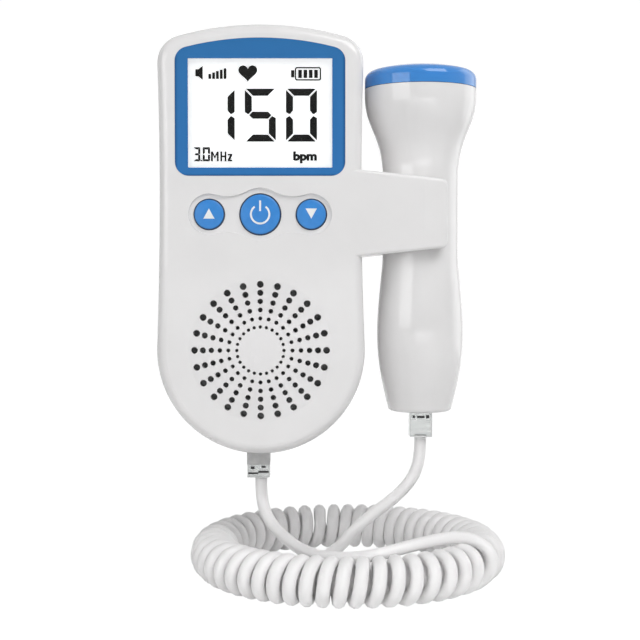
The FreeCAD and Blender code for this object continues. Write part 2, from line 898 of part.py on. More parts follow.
def backlight_plate():
    """Light guide behind the cell, above the contact strip."""
    strip_top = display_z - lcd_half_height + zebra_width + frame_wall
    return box(-lcd_half_width, lcd_half_width, -lcd_back, -backlight_back,
               strip_top, display_z + lcd_half_height)


def lcd_frame():
    """Tray that carries the cell and the light guide on the board."""
    outer_w = lcd_half_width + frame_wall
    outer_h = lcd_half_height + frame_wall
    tray = display_block(outer_w, outer_h, -lcd_face, -board_front)
    tray = tray.cut(display_block(lcd_half_width, lcd_half_height, 2 * face_y, -lcd_back))
    strip_top = display_z - lcd_half_height + zebra_width + frame_wall
    guide_room = box(-lcd_half_width, lcd_half_width, -lcd_back - glue_gap, -backlight_back,
                     strip_top, display_z + lcd_half_height)
    under = display_block(lcd_half_width - frame_wall, lcd_half_height - frame_wall - zebra_width,
                          -backlight_back + frame_floor, 0)
    return tray.cut([guide_room, under, zebra_strip()])


def zebra_strip():
    """Elastomer strip that connects the cell's lower edge with the board."""
    low = display_z - lcd_half_height
    return box(-zebra_length / 2, zebra_length / 2, -lcd_back, -board_front, low, low + zebra_width)


# ---- main board ----
def main_board():
    """Printed circuit board behind the display and the buttons."""
    plate = prism(case_outline(shell_wall + board_edge_gap, -board_front), board_thickness)
    half = 2 * waist_half_width
    plate = plate.common(box(-half, half, -unit_depth, 0, board_bottom_z, unit_height))
    holes = [rod(board_screw_radius + button_gap, V(x, -unit_depth, z), V(x, 0, z))
             for x, z in board_screw_places()]
    holes += [rod(case_boss_radius + board_edge_gap, V(x, -unit_depth, z), V(x, 0, z))
              for x, z in case_screw_places()[:2]]
    return plate.cut(holes)


def board_screws():
    """Four short screws that hold the board on its bosses."""
    screws = []
    for x, z in board_screw_places():
        head = rod(board_screw_head_radius, V(x, -board_back, z),
                   V(x, -board_back + board_screw_head, z))
        shank = rod(board_screw_radius, V(x, -unit_depth + 2 * shell_wall, z), V(x, -board_back, z))
        screws.append(fuse(head, shank))
    return Part.makeCompound(screws)


def case_screws():
    """Four screws from the back into the front half's bosses."""
    screws = []
    for x, z in case_screw_places():
        top = -case_screw_cover
        head = rod(case_screw_head_radius, V(x, top - case_screw_head, z), V(x, top, z))
        half_long = case_screw_head_radius / 2
        half_wide = case_screw_slot / 2
        low = top - case_screw_head / 2
        slot = box(x - half_long, x + half_long, low, top + 1, z - half_wide, z + half_wide)
        cross = box(x - half_wide, x + half_wide, low, top + 1, z - half_long, z + half_long)
        shank = rod(case_screw_radius, V(x, parting_y - screw_tip_length, z),
                    V(x, top - case_screw_head, z))
        screws.append(fuse(head, shank).cut([slot, cross]))
    return Part.makeCompound(screws)


def board_chips():
    """Processor, amplifier and memory on the back of the board."""
    chips = []
    for x, z, half in board_chip_places:
        chips.append(box(x - half, x + half, -board_back, -board_back + chip_height,
                         z - half, z + half))
    return Part.makeCompound(chips)


def board_capacitors():
    """Two upright electrolytic capacitors on the back of the board."""
    cans = []
    for drop in capacitor_drops:
        foot = V(capacitor_x, -board_back, case_top_z - drop)
        cans.append(rod(capacitor_radius, foot, foot + BACK * capacitor_length))
    return Part.makeCompound(cans)


def switch_bodies():
    """Three push switches soldered under the buttons."""
    bodies = []
    front = -board_front - switch_body_height
    bore_depth = switch_stem_inset + button_travel + switch_end_gap
    for x, _radius in button_places().values():
        half = switch_size / 2
        body = box(x - half, x + half, front, -board_front, button_z - half, button_z + half)
        bore = rod(switch_stem_radius + switch_stem_gap, V(x, front - 1, button_z),
                   V(x, front + bore_depth, button_z))
        bodies.append(body.cut(bore))
    return Part.makeCompound(bodies)


def switch_stem(x):
    """Plunger of one switch; it moves with its button."""
    front = -board_front - switch_body_height
    return rod(switch_stem_radius, V(x, front - switch_stem_height, button_z),
               V(x, front + switch_stem_inset, button_z))


# ---- buttons ----
def button(x, radius):
    """Blue cap with a slightly crowned face, a hidden flange and a post."""
    wall_back = face_y + shell_wall
    flange_front = wall_back + button_rest_gap
    flange_back = flange_front + button_flange_depth
    crown_ball = (radius ** 2 + button_crown ** 2) / (2 * button_crown)
    body = rod(radius, V(x, face_y - button_crown, button_z), V(x, flange_back, button_z))
    ball = Part.makeSphere(crown_ball, V(x, face_y - button_crown + crown_ball, button_z))
    body = body.common(ball)
    rim = [e for e in body.Edges if is_round(e) and e.CenterOfMass.y < face_y + button_crown]
    body = body.makeFillet(button_edge_radius, rim)
    flange = rod(radius + button_flange, V(x, flange_front, button_z), V(x, flange_back, button_z))
    stem_front = -board_front - switch_body_height - switch_stem_height
    post = rod(button_post_radius, V(x, flange_front, button_z), V(x, stem_front, button_z))
    return fuse(body, flange, post)


# ---- loudspeaker ----
def speaker_gasket():
    """Foam ring between the seat and the loudspeaker."""
    front = V(0, -speaker_seat_depth, grille_z)
    return tube(speaker_radius, speaker_radius - speaker_seat_width,
                front, front + BACK * speaker_gasket_depth)


def speaker_back():
    """Depths of the loudspeaker's rim front, basket front, basket back and magnet back."""
    rim = -speaker_seat_depth + speaker_gasket_depth
    basket = rim + speaker_rim_depth
    back = basket + speaker_basket_depth
    return rim, basket, back, back + magnet_depth


def speaker_frame():
    """Pressed steel basket with a flat rim."""
    rim, basket, back, _magnet = speaker_back()
    flange = tube(speaker_radius, speaker_radius - speaker_seat_width,
                  V(0, rim, grille_z), V(0, basket, grille_z))
    inner_rim = speaker_radius - speaker_seat_width
    outer = Part.makeCone(inner_rim + speaker_sheet, speaker_basket_radius, speaker_basket_depth,
                          V(0, basket - speaker_sheet, grille_z), BACK)
    inner = Part.makeCone(inner_rim, speaker_basket_radius - speaker_sheet,
                          speaker_basket_depth - speaker_sheet,
                          V(0, basket - speaker_sheet, grille_z), BACK)
    funnel = outer.cut(inner)
    return fuse(flange, funnel)


def speaker_magnet():
    """Ceramic magnet behind the basket."""
    _rim, _basket, back, magnet = speaker_back()
    return rod(magnet_radius, V(0, back - speaker_sheet, grille_z),
               V(0, magnet - speaker_sheet, grille_z))


def speaker_cone():
    """Thin cone with a round dust cap, glued inside the rim."""
    rim, basket, _back, _magnet = speaker_back()
    outer_radius = speaker_radius - speaker_seat_width - cone_gap
    inner_radius = outer_radius / 3
    front = Part.makeCone(outer_radius, inner_radius, cone_depth, V(0, rim, grille_z), BACK)
    back = Part.makeCone(outer_radius, inner_radius, cone_depth,
                         V(0, rim + cone_sheet, grille_z), BACK)
    sheet = back.cut(front)
    keep = rod(outer_radius, V(0, rim, grille_z), V(0, rim + 2 * cone_depth, grille_z))
    return sheet.common(keep)


# ---- headphone jack ----
def headphone_jack():
    """Jack socket on the board's back, with its nose in the side wall."""
    y = -(board_back - jack_body_height / 2)
    nose_x = -side_half_width(jack_z)
    body_x = -waist_half_width + shell_wall + glue_gap + jack_nose_gap
    body = box(body_x, nose_x + jack_bore_length + jack_end_wall, -board_back,
               -board_back + jack_body_height,
               jack_z - jack_body_width / 2, jack_z + jack_body_width / 2)
    nose = rod(jack_nose_radius, V(nose_x, y, jack_z), V(body_x + glue_gap, y, jack_z))
    bore = rod(jack_bore_radius, V(nose_x - 1, y, jack_z),
               V(nose_x + jack_bore_length, y, jack_z))
    return fuse(body, nose).cut(bore)


# ---- cord sockets and plugs ----
def socket(x, floor_z):
    """Cord socket with its mouth down; floor_z is its lower face."""
    half_w = plug_width / 2 + plug_fit
    half_d = plug_depth / 2 + plug_fit
    latch = latch_thickness + plug_fit
    outer = box(x - half_w - socket_wall, x + half_w + socket_wall,
                parting_y - half_d - latch - socket_wall, parting_y + half_d + socket_wall,
                floor_z, floor_z + socket_depth + socket_wall)
    room = box(x - half_w, x + half_w, parting_y - half_d, parting_y + half_d,
               floor_z - 1, floor_z + socket_depth)
    latch_room = box(x - latch_width / 2 - plug_fit, x + latch_width / 2 + plug_fit,
                     parting_y - half_d - latch, parting_y, floor_z - 1, floor_z + socket_depth)
    return outer.cut([room, latch_room])


def plug(x, bottom_z):
    """Clear modular plug with a stepped nose and a latch tab on its front."""
    half_w = plug_width / 2
    half_d = plug_depth / 2
    top = bottom_z + plug_length
    body = box(x - half_w, x + half_w, parting_y - half_d, parting_y + half_d, bottom_z, top)
    nose = [e for e in body.Edges if abs(e.CenterOfMass.z - top) < glue_gap]
    body = body.makeChamfer(plug_nose_step, nose)
    upright_edges = [e for e in body.Edges
                     if abs(e.tangentAt(e.FirstParameter).z) > 1 - glue_gap]
    body = body.makeFillet(plug_nose_step, upright_edges)
    tab = box(x - latch_width / 2, x + latch_width / 2, parting_y - half_d - latch_thickness,
              parting_y - half_d + glue_gap, top - latch_length - plug_nose_step, top - plug_nose_step)
    return fuse(body, tab).cut(plug_contacts(x, bottom_z))


def plug_contacts(x, bottom_z):
    """Gold blades set in slots in the plug's back."""
    top = bottom_z + plug_length - 2 * plug_nose_step
    blades = []
    for index in range(plug_contact_count):
        place = x + (index - (plug_contact_count - 1) / 2) * plug_contact_pitch
        back = parting_y + plug_depth / 2
        blades.append(box(place - plug_contact_width / 2, place + plug_contact_width / 2,
                          back - plug_contact_sink, back, top - plug_contact_length, top))
    return Part.makeCompound(blades)


# ---- probe ----
def probe_profile(inset, bottom_z, top_z):
    """Closed half section of the handle, moved inwards by inset, for turning."""
    head = V(probe_x + head_radius - inset, probe_y, top_z)
    head_low = V(probe_x + head_radius - inset, probe_y, head_bottom_z)
    neck_high = V(probe_x + neck_radius - inset, probe_y, neck_top_z)
    neck_low = V(probe_x + neck_radius - inset, probe_y, neck_bottom_z)
    bulge = V(probe_x + bulge_radius - inset, probe_y, bulge_z)
    flare = head_bottom_z - neck_top_z
    swell = neck_bottom_z - bulge_z
    taper = bulge_z - probe_bottom_z
    shrink = (bulge_radius - tail_radius) / taper
    end_radius = tail_radius - inset
    tail = V(probe_x + end_radius, probe_y, probe_bottom_z)
    edges = [
        Part.makeLine(V(probe_x, probe_y, top_z), head),
        Part.makeLine(head, head_low),
        bezier(head_low, head_low - UP * flare_share_high * flare,
               neck_high + UP * flare_share_low * flare, neck_high),
        Part.makeLine(neck_high, neck_low),
        bezier(neck_low, neck_low - UP * swell_share_high * swell,
               bulge + UP * swell_share_low * swell, bulge),
        bezier(bulge, bulge - UP * taper_share_high * taper,
               tail + UP * taper_share_low * taper + RIGHT * taper_splay * taper * shrink, tail),
        Part.makeLine(tail, V(probe_x, probe_y, probe_bottom_z)),
        Part.makeLine(V(probe_x, probe_y, probe_bottom_z), V(probe_x, probe_y, top_z)),
    ]
    turned = Part.Face(Part.Wire(edges)).revolve(V(probe_x, probe_y, 0), UP, 360)
    reach = 2 * head_radius
    return turned.common(box(probe_x - reach, probe_x + reach, probe_y - reach, probe_y + reach,
                             bottom_z, top_z))


def bezier(*poles):
    """Curve edge from its control points."""
    curve = Part.BezierCurve()
    curve.setPoles(list(poles))
    return curve.toShape()


def probe_handle():
    """Whole hollow handle before it is split into halves."""
    outer = probe_profile(0, probe_bottom_z, seam_z)
    foot = [e for e in outer.Edges
            if is_round(e) and abs(e.CenterOfMass.z - probe_bottom_z) < glue_gap]
    outer = outer.makeFillet(probe_bottom_edge, foot)
    hollow = probe_profile(probe_wall, probe_bottom_z + probe_wall, seam_z + glue_gap)
    x = probe_x + probe_plug_shift
    mouth = box(x - plug_width / 2 - plug_mouth_gap, x + plug_width / 2 + plug_mouth_gap,
                probe_y - plug_depth / 2 - plug_mouth_gap - latch_thickness,
                probe_y + plug_depth / 2 + plug_mouth_gap,
                probe_bottom_z - 1, probe_bottom_z + probe_wall + 1)
    return outer.cut([hollow, mouth])


def probe_half(front):
    """Front or rear half of the handle, split at the parting plane."""
    reach = 2 * head_radius
    if front:
        side = box(probe_x - reach, probe_x + reach, probe_y - reach, probe_y,
                   2 * probe_bottom_z, 2 * cap_top_z)
    else:
        side = box(probe_x - reach, probe_x + reach, probe_y, probe_y + reach,
                   2 * probe_bottom_z, 2 * cap_top_z)
    return probe_handle().common(side)


def on_probe(z):
    """Point on the probe's axis."""
    return V(probe_x, probe_y, z)


def crystal_top_z():
    """Height of the flat inner face of the cap."""
    return cap_top_z - cap_edge_radius - crystal_depth


def probe_cap():
    """Blue cap whose domed end touches the skin, with a spigot inside the handle."""
    low = seam_z + cap_seam_gap
    body = rod(head_radius, on_probe(low), on_probe(cap_top_z))
    ball = Part.makeSphere(cap_dome_radius, on_probe(cap_top_z - cap_dome_radius))
    body = body.common(ball)
    rim = [e for e in body.Edges if is_round(e) and e.CenterOfMass.z > low + cap_side_height]
    body = body.makeFillet(cap_edge_radius, rim)
    spigot = rod(spigot_radius, on_probe(low - cap_spigot_length), on_probe(low + glue_gap))
    room = rod(spigot_radius - cap_spigot_wall, on_probe(low - 2 * cap_spigot_length),
               on_probe(crystal_top_z()))
    return fuse(body, spigot).cut(room)


def crystal(side):
    """Half-moon piezo plate bonded under the cap's end."""
    disc = rod(crystal_radius, on_probe(crystal_top_z() - crystal_depth), on_probe(crystal_top_z()))
    reach = 2 * crystal_radius
    edge = probe_x + side * crystal_split / 2
    keep = box(min(edge, edge + side * reach), max(edge, edge + side * reach),
               probe_y - reach, probe_y + reach, seam_z - reach, cap_top_z)
    return disc.common(keep)


def crystal_backing():
    """Damping disc behind both crystals."""
    top = crystal_top_z() - crystal_depth
    return rod(crystal_radius, on_probe(top - backing_depth), on_probe(top))


def crystal_holder():
    """Cup that presses the backing and the crystals against the cap."""
    top = crystal_top_z()
    low = top - crystal_depth - backing_depth - crystal_holder_wall
    inner = crystal_radius + crystal_fit
    cup = rod(inner + crystal_holder_wall, on_probe(low), on_probe(top))
    cup = cup.cut(rod(inner, on_probe(low + crystal_holder_wall), on_probe(top + 1)))
    holes = [rod(lead_radius + cap_spigot_fit, on_probe(low - 1) + RIGHT * lead_offset * side,
                 on_probe(top) + RIGHT * lead_offset * side) for side in (-1, 1)]
    return cup.cut(holes)


def cap_seal():
    """Sealing ring under the cap's spigot."""
    low = seam_z + cap_seam_gap - cap_spigot_length
    return tube(spigot_radius, spigot_radius - cap_spigot_wall,
                on_probe(low - seal_depth), on_probe(low))


def probe_board():
    """Amplifier board held between the halves of the handle."""
    half_w = probe_board_width / 2
    half_t = probe_board_thickness / 2
    return box(probe_x - half_w, probe_x + half_w, probe_y - half_t, probe_y + half_t,
               probe_board_bottom_z, probe_board_top_z)


def probe_chips():
    """Two amplifier chips on the front of the probe's board."""
    front = probe_y - probe_board_thickness / 2
    return Part.makeCompound([
        box(probe_x - half, probe_x + half, front - chip_height, front, z - half, z + half)
        for z, half in probe_chip_places])


def probe_leads():
    """Two short leads from the crystals to the board."""
    top = crystal_top_z() - crystal_depth - backing_depth
    leads = []
    for side in (-1, 1):
        foot = on_probe(probe_board_top_z) + RIGHT * lead_offset * side
        leads.append(rod(lead_radius, foot, V(foot.x, foot.y, top)))
    return Part.makeCompound(leads)


# ---- cord ----
def cord_path(name, route):
    """Straight runs joined by tangent arcs; prints each bend's radius."""
    points = [V(*p) for p in route]
    edges = []
    start = points[0]
    for before, corner, after in zip(points, points[1:], points[2:]):
        to_corner = (corner - before).normalize()
        from_corner = (after - corner).normalize()
        turn = to_corner.getAngle(from_corner)
        shorter = min((corner - before).Length, (after - corner).Length)
        cut_back = arc_share * shorter
        radius = cut_back / math.tan(turn / 2)
        print(name, "bend", round(math.degrees(turn)), "degrees, radius", round(radius, 1))
        enter = corner - to_corner * cut_back
        leave = corner + from_corner * cut_back
        inward = (from_corner - to_corner).normalize()
        depth = radius / math.cos(turn / 2) - radius
        edges.append(Part.LineSegment(start, enter).toShape())
        edges.append(Part.Arc(enter, corner + inward * depth, leave).toShape())
        start = leave
    edges.append(Part.LineSegment(start, points[-1]).toShape())
    return Part.Wire(edges)


def cord_tube(name, route):
    """Round cord along a route."""
    path = cord_path(name, route)
    start = V(*route[0])
    way = V(*route[1]) - start
    circle = Part.Wire(Part.makeCircle(cord_radius, start, way))
    solid = path.makePipeShell([circle], True, False)
    share = solid.Volume / (math.pi * cord_radius ** 2 * path.Length)
    print(name, "length", round(path.Length, 1), "volume share", round(share, 4))
    return solid


def cord_curl():
    """Outer shape of the curly part: one thick ring that is not quite closed."""
    ring = Part.makeTorus(ring_radius, coil_radius, V(ring_x, ring_y, ring_z), UP,
                          -180, 180, abs(ring_end_angle - ring_start_angle))
    return ring.rotated(V(ring_x, ring_y, ring_z), UP, ring_end_angle)


def cord_tail_unit():
    """Straight cord at the unit's end."""
    return cord_tube("unit tail", unit_tail_route)


def cord_tail_probe():
    """Straight cord at the probe's end."""
    return cord_tube("probe tail", probe_tail_route)


def socket_floor_unit():
    """Lower face of the unit's socket, just above the case wall at the socket's corners."""
    reach = plug_width / 2 + plug_fit + socket_wall + abs(unit_plug_x)
    return round_end_z - math.sqrt((round_end - shell_wall) ** 2 - reach ** 2) + plug_fit


def all_parts():
    """Every node by name."""
    unit_plug = (unit_plug_x, case_bottom_z - unit_plug_shown)
    probe_plug = (probe_x + probe_plug_shift, probe_bottom_z - probe_plug_shown)
    nodes = {
        "front_shell": front_shell(),
        "rear_shell": rear_shell(),
        "battery_cover": battery_cover(),
        "battery_cells": battery_cells(),
        "battery_contacts": battery_terminals(),
        "battery_link": battery_link(),
        "display_bezel": display_bezel(),
        "display_lens": display_lens(),
        "lcd_glass": lcd_glass(),
        "lcd_frame": lcd_frame(),
        "backlight_plate": backlight_plate(),
        "zebra_strip": zebra_strip(),
        "main_board": main_board(),
        "board_screws": board_screws(),
        "board_chips": board_chips(),
        "board_capacitors": board_capacitors(),
        "case_screws": case_screws(),
        "switch_bodies": switch_bodies(),
        "speaker_gasket": speaker_gasket(),
        "speaker_frame": speaker_frame(),
        "speaker_magnet": speaker_magnet(),
        "speaker_cone": speaker_cone(),
        "headphone_jack": headphone_jack(),
        "unit_socket": socket(unit_plug[0], socket_floor_unit()),
        "unit_plug": plug(*unit_plug),
        "unit_plug_contacts": plug_contacts(*unit_plug),
        "probe_shell_front": probe_half(True),
        "probe_shell_rear": probe_half(False),
        "probe_cap": probe_cap(),
        "cap_seal": cap_seal(),
        "crystal_transmit": crystal(-1),
        "crystal_receive": crystal(1),
        "crystal_backing": crystal_backing(),
        "crystal_holder": crystal_holder(),
        "probe_board": probe_board(),
        "probe_chips": probe_chips(),
        "probe_leads": probe_leads(),
        "probe_socket": socket(probe_plug[0], probe_bottom_z + probe_wall),
        "probe_plug": plug(*probe_plug),
        "probe_plug_contacts": plug_contacts(*probe_plug),
        "cord_tail_unit": cord_tail_unit(),
        "cord_curl": cord_curl(),
        "cord_tail_probe": cord_tail_probe(),
    }
    for name, (x, radius) in button_places().items():
        nodes["button_" + name] = button(x, radius)
        nodes["switch_stem_" + name] = switch_stem(x)
    return nodes


def main():
    """Writes one STEP file per node."""
    os.makedirs("parts", exist_ok=True)
    for name, shape in all_parts().items():
        shape.exportStep("parts/" + name + ".step")


main()
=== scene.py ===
import json
import math

import bpy
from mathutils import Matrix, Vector

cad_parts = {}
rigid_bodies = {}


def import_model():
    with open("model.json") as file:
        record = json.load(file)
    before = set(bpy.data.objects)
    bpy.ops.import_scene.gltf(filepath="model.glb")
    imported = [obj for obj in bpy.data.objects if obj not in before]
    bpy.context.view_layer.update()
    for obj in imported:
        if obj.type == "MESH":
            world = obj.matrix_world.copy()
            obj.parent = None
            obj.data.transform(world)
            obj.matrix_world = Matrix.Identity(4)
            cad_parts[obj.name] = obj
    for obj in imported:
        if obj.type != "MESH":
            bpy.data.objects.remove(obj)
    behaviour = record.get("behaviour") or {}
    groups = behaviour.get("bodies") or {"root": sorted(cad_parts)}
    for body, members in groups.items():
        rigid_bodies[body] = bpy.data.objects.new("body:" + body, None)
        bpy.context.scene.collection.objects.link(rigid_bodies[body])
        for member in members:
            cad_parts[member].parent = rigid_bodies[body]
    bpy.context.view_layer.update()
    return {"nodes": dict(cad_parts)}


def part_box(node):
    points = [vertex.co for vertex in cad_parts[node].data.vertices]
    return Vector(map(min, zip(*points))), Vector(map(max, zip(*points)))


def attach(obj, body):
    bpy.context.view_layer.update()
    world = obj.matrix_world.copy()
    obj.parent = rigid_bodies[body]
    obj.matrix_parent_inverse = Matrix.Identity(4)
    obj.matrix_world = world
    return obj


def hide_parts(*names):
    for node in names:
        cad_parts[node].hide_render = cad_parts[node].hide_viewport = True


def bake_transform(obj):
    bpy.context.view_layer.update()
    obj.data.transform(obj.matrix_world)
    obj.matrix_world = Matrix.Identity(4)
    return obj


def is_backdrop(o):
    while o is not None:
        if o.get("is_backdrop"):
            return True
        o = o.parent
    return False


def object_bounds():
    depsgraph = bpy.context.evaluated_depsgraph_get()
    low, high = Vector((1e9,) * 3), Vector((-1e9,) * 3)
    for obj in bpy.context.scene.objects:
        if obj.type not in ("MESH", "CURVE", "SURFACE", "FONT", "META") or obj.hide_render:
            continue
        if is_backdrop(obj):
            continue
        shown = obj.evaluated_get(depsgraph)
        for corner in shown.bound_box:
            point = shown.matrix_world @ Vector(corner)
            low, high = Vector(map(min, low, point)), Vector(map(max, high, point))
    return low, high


# Looks of a pocket heart monitor: white glossy case, blue display surround and keys,
# a lit display, a probe in a side holster and a curly cord that lies in a ring.
# Sizes are in millimetres and become metres where they reach Blender.

MM = 0.001
WELD = 0.001

# ---- display reading ----
LCD_FRONT = -31.9
PRINT_DEPTH = 0.04
DIGIT_BOTTOM = 29.5
DIGIT_HEIGHT = 16.05
DIGIT_WIDTH = 9.45
DIGIT_PITCH = 12.55
LAST_DIGIT_LEFT = 7.83
DIGIT_STROKE = 2.15
DIGIT_GAP = 0.34
SMALL_BOTTOM = 23.5

# ---- keys ----
KEY_Z = 7.3
KEY_PITCH = 15.55
KEY_FRONT = -34.5
KEY_CROWN = 0.5
SIDE_KEY_RADIUS = 4.54
POWER_KEY_RADIUS = 6.14
PRINT_ON_KEY = 0.06

# ---- cord ----
CORD_RADIUS = 1.9
COIL_RADIUS = 7.35
RING_RADIUS = 42.5
RING_CENTRE = (27.0, -17.0, -99.4)
RING_START = -28.0
RING_SWEEP = -347.0
TURNS = 49.5
POINTS_PER_TURN = 16
FIRST_STEP = 6
SPLINE_SHRINK = 0.985
WOUND_WIDTH = 1.1

# How finely the two cords are drawn: points between control points, and roundness.
CURL_STEPS = 3
CURL_ROUNDNESS = 3
PROBE_STEPS = 12
PROBE_ROUNDNESS = 5

# The turns crowd a little in some places: waves in their angle round the ring, in radians.
SINGLE_WAVE = -0.045
DOUBLE_WAVE = 0.066

# Route of the straight cord from the unit's plug, over the ring, to its first turn.
UNIT_CORD_ROUTE = [
    (-0.6, -17.0, -75.3),
    (-0.6, -17.0, -81.1),
    (0.7, -19.5, -86.4),
    (3.2, -23.8, -89.8),
    (6.7, -30.0, -92.0),
    (13.0, -42.0, -94.4),
    (21.5, -51.0, -94.5),
    (33.0, -53.4, -93.4),
    (44.6, -48.8, -91.2),
    (54.0, -42.8, -90.3),
    (61.5, -39.0, -90.2),
    (67.2, -38.2, -92.2),
]

# Where the first turn rounds the outer side of the ring.
FIRST_TURN = [(70.2, -39.8, -95.8), (70.2, -41.3, -100.2)]

# Route of the straight cord from the bottom of the last turn to the probe's plug.
PROBE_CORD_ROUTE = [
    (68.34, -28.08, -104.85),
    (60.5, -27.2, -104.85),
    (54.4, -30.6, -104.85),
    (48.6, -37.0, -104.85),
    (39.6, -44.4, -104.85),
    (28.4, -47.4, -104.85),
    (17.0, -45.2, -104.85),
    (9.0, -37.4, -104.85),
    (8.6, -26.4, -104.8),
    (15.6, -18.6, -103.4),
    (24.0, -16.0, -99.0),
    (29.4, -16.2, -92.6),
    (35.8, -17.2, -86.8),
    (43.2, -17.2, -81.4),
    (48.4, -17.0, -75.2),
    (50.2, -17.0, -68.6),
    (50.2, -17.0, -62.4),
]

# ---- plugs ----
MARK_PROUD = 0.03
COLLAR_PROUD = 0.05
COLLAR_HEIGHT = 5.3
COLLAR_SINK = 0.4
COLLAR_EDGE = 0.35

# Marks on the plugs' fronts: left, right, bottom and top from the plug's lower middle.
# The slot marks are black plates for painted shade in the contact slots' openings; the crimp marks are the
# crimp's own edge.
UNIT_SLOT_SHADES = [(-2.4, -1.2, 2.8, 3.6), (1.0, 2.3, 3.2, 3.8)]
UNIT_CRIMP = [(-3.2, 0.0, 1.2, 1.75), (0.0, 3.3, 1.6, 2.25)]
PROBE_SLOT_SHADES = [(-2.7, -2.0, 6.1, 6.9), (-1.3, 1.0, 6.1, 6.8), (1.5, 2.5, 6.0, 7.0)]
PROBE_CRIMP = [(-2.1, 1.6, 0.55, 0.9)]

# ---- studio ----
# The room's light from the front and from behind, and what mirrors and clear pieces take from it.
ROOM_FRONT = 0.2
ROOM_BACK = 1.0
ROOM_MIRRORED = 0.13

# The paper's own glow where it is seen directly, which keeps it white under a soft shadow.
GLOW_SHARE = 0.82
GLOW_STRENGTH = 1.2

# Floor and wall in metres, with the fold between them.
FLOOR_SIZE = 4.0
WALL_HEIGHT = 3.0
FOLD_WIDTH = 1.2
FOLD_STEPS = 24

# Name, place, aim, width and height in millimetres, power in watts, spread in degrees.
SOFTBOXES = [
    ("key_light", (320, -450, 500), (20, -20, 0), 500, 400, 3.1, 180),
    ("left_window", (-430, -500, 120), (20, -20, 0), 450, 300, 1.15, 180),
    ("low_fill", (120, -700, -90), (20, -20, -80), 600, 120, 0.35, 180),
    ("ring_strip", (45, -300, -85), (30, -50, -105), 260, 30, 0.0062, 26),
    ("rim_panel", (560, 240, 60), (50, -20, 0), 390, 900, 1.25, 180),
]

# ---- camera ----
CAMERA_PLACE = (18.2, -428.0, -11.6)
CAMERA_PITCH = 1.93
CAMERA_LENS = 72.7
SENSOR_WIDTH = 36.0


# ---- small helpers ----
def metres(*place):
    """Place in millimetres as a vector in metres."""
    return Vector(place) * MM


def deselect():
    """Nothing selected, in object mode."""
    if bpy.context.object and bpy.context.object.mode != "OBJECT":
        bpy.ops.object.mode_set(mode="OBJECT")
    bpy.ops.object.select_all(action="DESELECT")


def pick(piece):
    """Only this piece selected and active."""
    deselect()
    piece.select_set(True)
    bpy.context.view_layer.objects.active = piece


def settle(piece):
    """Puts the object at the origin, unturned and unscaled, with its place in its mesh."""
    pick(piece)
    bpy.ops.object.transform_apply(location=True, rotation=True, scale=True)


def edit(piece):
    """Edit mode on one piece with its whole mesh selected."""
    pick(piece)
    bpy.ops.object.mode_set(mode="EDIT")
    bpy.ops.mesh.select_all(action="SELECT")


def close_up(piece):
    """Merges doubled points and turns all faces outwards."""
    edit(piece)
    bpy.ops.mesh.remove_doubles(threshold=WELD * MM)
    bpy.ops.mesh.normals_make_consistent(inside=False)
    bpy.ops.object.mode_set(mode="OBJECT")


def dress(piece, body, material):
    """A new piece's body, material slot and material."""
    piece.data.materials.clear()
    piece.data.materials.append(material)
    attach(piece, body)
    return piece


# ---- materials ----
def linear(code):
    """Linear colour of an sRGB hex value."""
    parts = [int(code[i:i + 2], 16) / 255 for i in (1, 3, 5)]
    return [p / 12.92 if p <= 0.04045 else ((p + 0.055) / 1.055) ** 2.4 for p in parts] + [1.0]


def add_node(material, kind, inputs=None, **settings):
    """Adds a node; inputs maps a socket to a plain value or to another node's output."""
    made = material.node_tree.nodes.new(kind)
    for name, value in settings.items():
        setattr(made, name, value)
    for socket, value in (inputs or {}).items():
        if isinstance(value, bpy.types.NodeSocket):
            material.node_tree.links.new(value, made.inputs[socket])
        else:
            made.inputs[socket].default_value = value
    return made


def blank(name):
    """Empty material with its own node tree, and the place on the piece in millimetres."""
    material = bpy.data.materials.new(name)
    material.use_nodes = True
    material.node_tree.nodes.clear()
    place = add_node(material, "ShaderNodeTexCoord")
    in_mm = add_node(material, "ShaderNodeVectorMath", {0: place.outputs["Object"], "Scale": 1 / MM},
                     operation="SCALE")
    return material, in_mm.outputs["Vector"]


def output(material, shader):
    """Joins the finished shader to the surface."""
    add_node(material, "ShaderNodeOutputMaterial", {"Surface": shader})
    return material


def speckle(material, place, size, low, high, detail=2.0):
    """Noise with spots of a size in millimetres, from low to high."""
    noise = add_node(material, "ShaderNodeTexNoise",
                     {"Vector": place, "Scale": 1 / size, "Detail": detail, "Roughness": 0.5})
    return add_node(material, "ShaderNodeMapRange",
                    {"Value": noise.outputs["Fac"], "From Min": 0.3, "From Max": 0.7,
                     "To Min": low, "To Max": high}).outputs["Result"]


def tint(material, factor, first, second):
    """Colour between two hex values."""
    return add_node(material, "ShaderNodeMix", {"Factor": factor, 6: linear(first), 7: linear(second)},
                    data_type="RGBA").outputs[2]


def ripple(material, height, depth):
    """Bump whose height is in millimetres."""
    return add_node(material, "ShaderNodeBump", {"Height": height, "Distance": depth * MM,
                                                 "Strength": 1.0}).outputs["Normal"]


def polished_abs(name, light, dark, rough=0.2, wave=0.002):
    """ABS from a polished mould: an even gloss with a very faint waviness and cloudiness."""
    cloud_size, skin_size, gloss_size = 14.0, 1.6, 5.0
    material, place = blank(name)
    cloud = speckle(material, place, cloud_size, 0.0, 1.0)
    skin = speckle(material, place, skin_size, 0.0, 1.0)
    gloss = speckle(material, place, gloss_size, rough - 0.02, rough + 0.03)
    shader = add_node(material, "ShaderNodeBsdfPrincipled", {
        "Base Color": tint(material, cloud, light, dark),
        "Roughness": gloss,
        "IOR": 1.52,
        "Normal": ripple(material, skin, wave),
    })
    return output(material, shader.outputs["BSDF"])


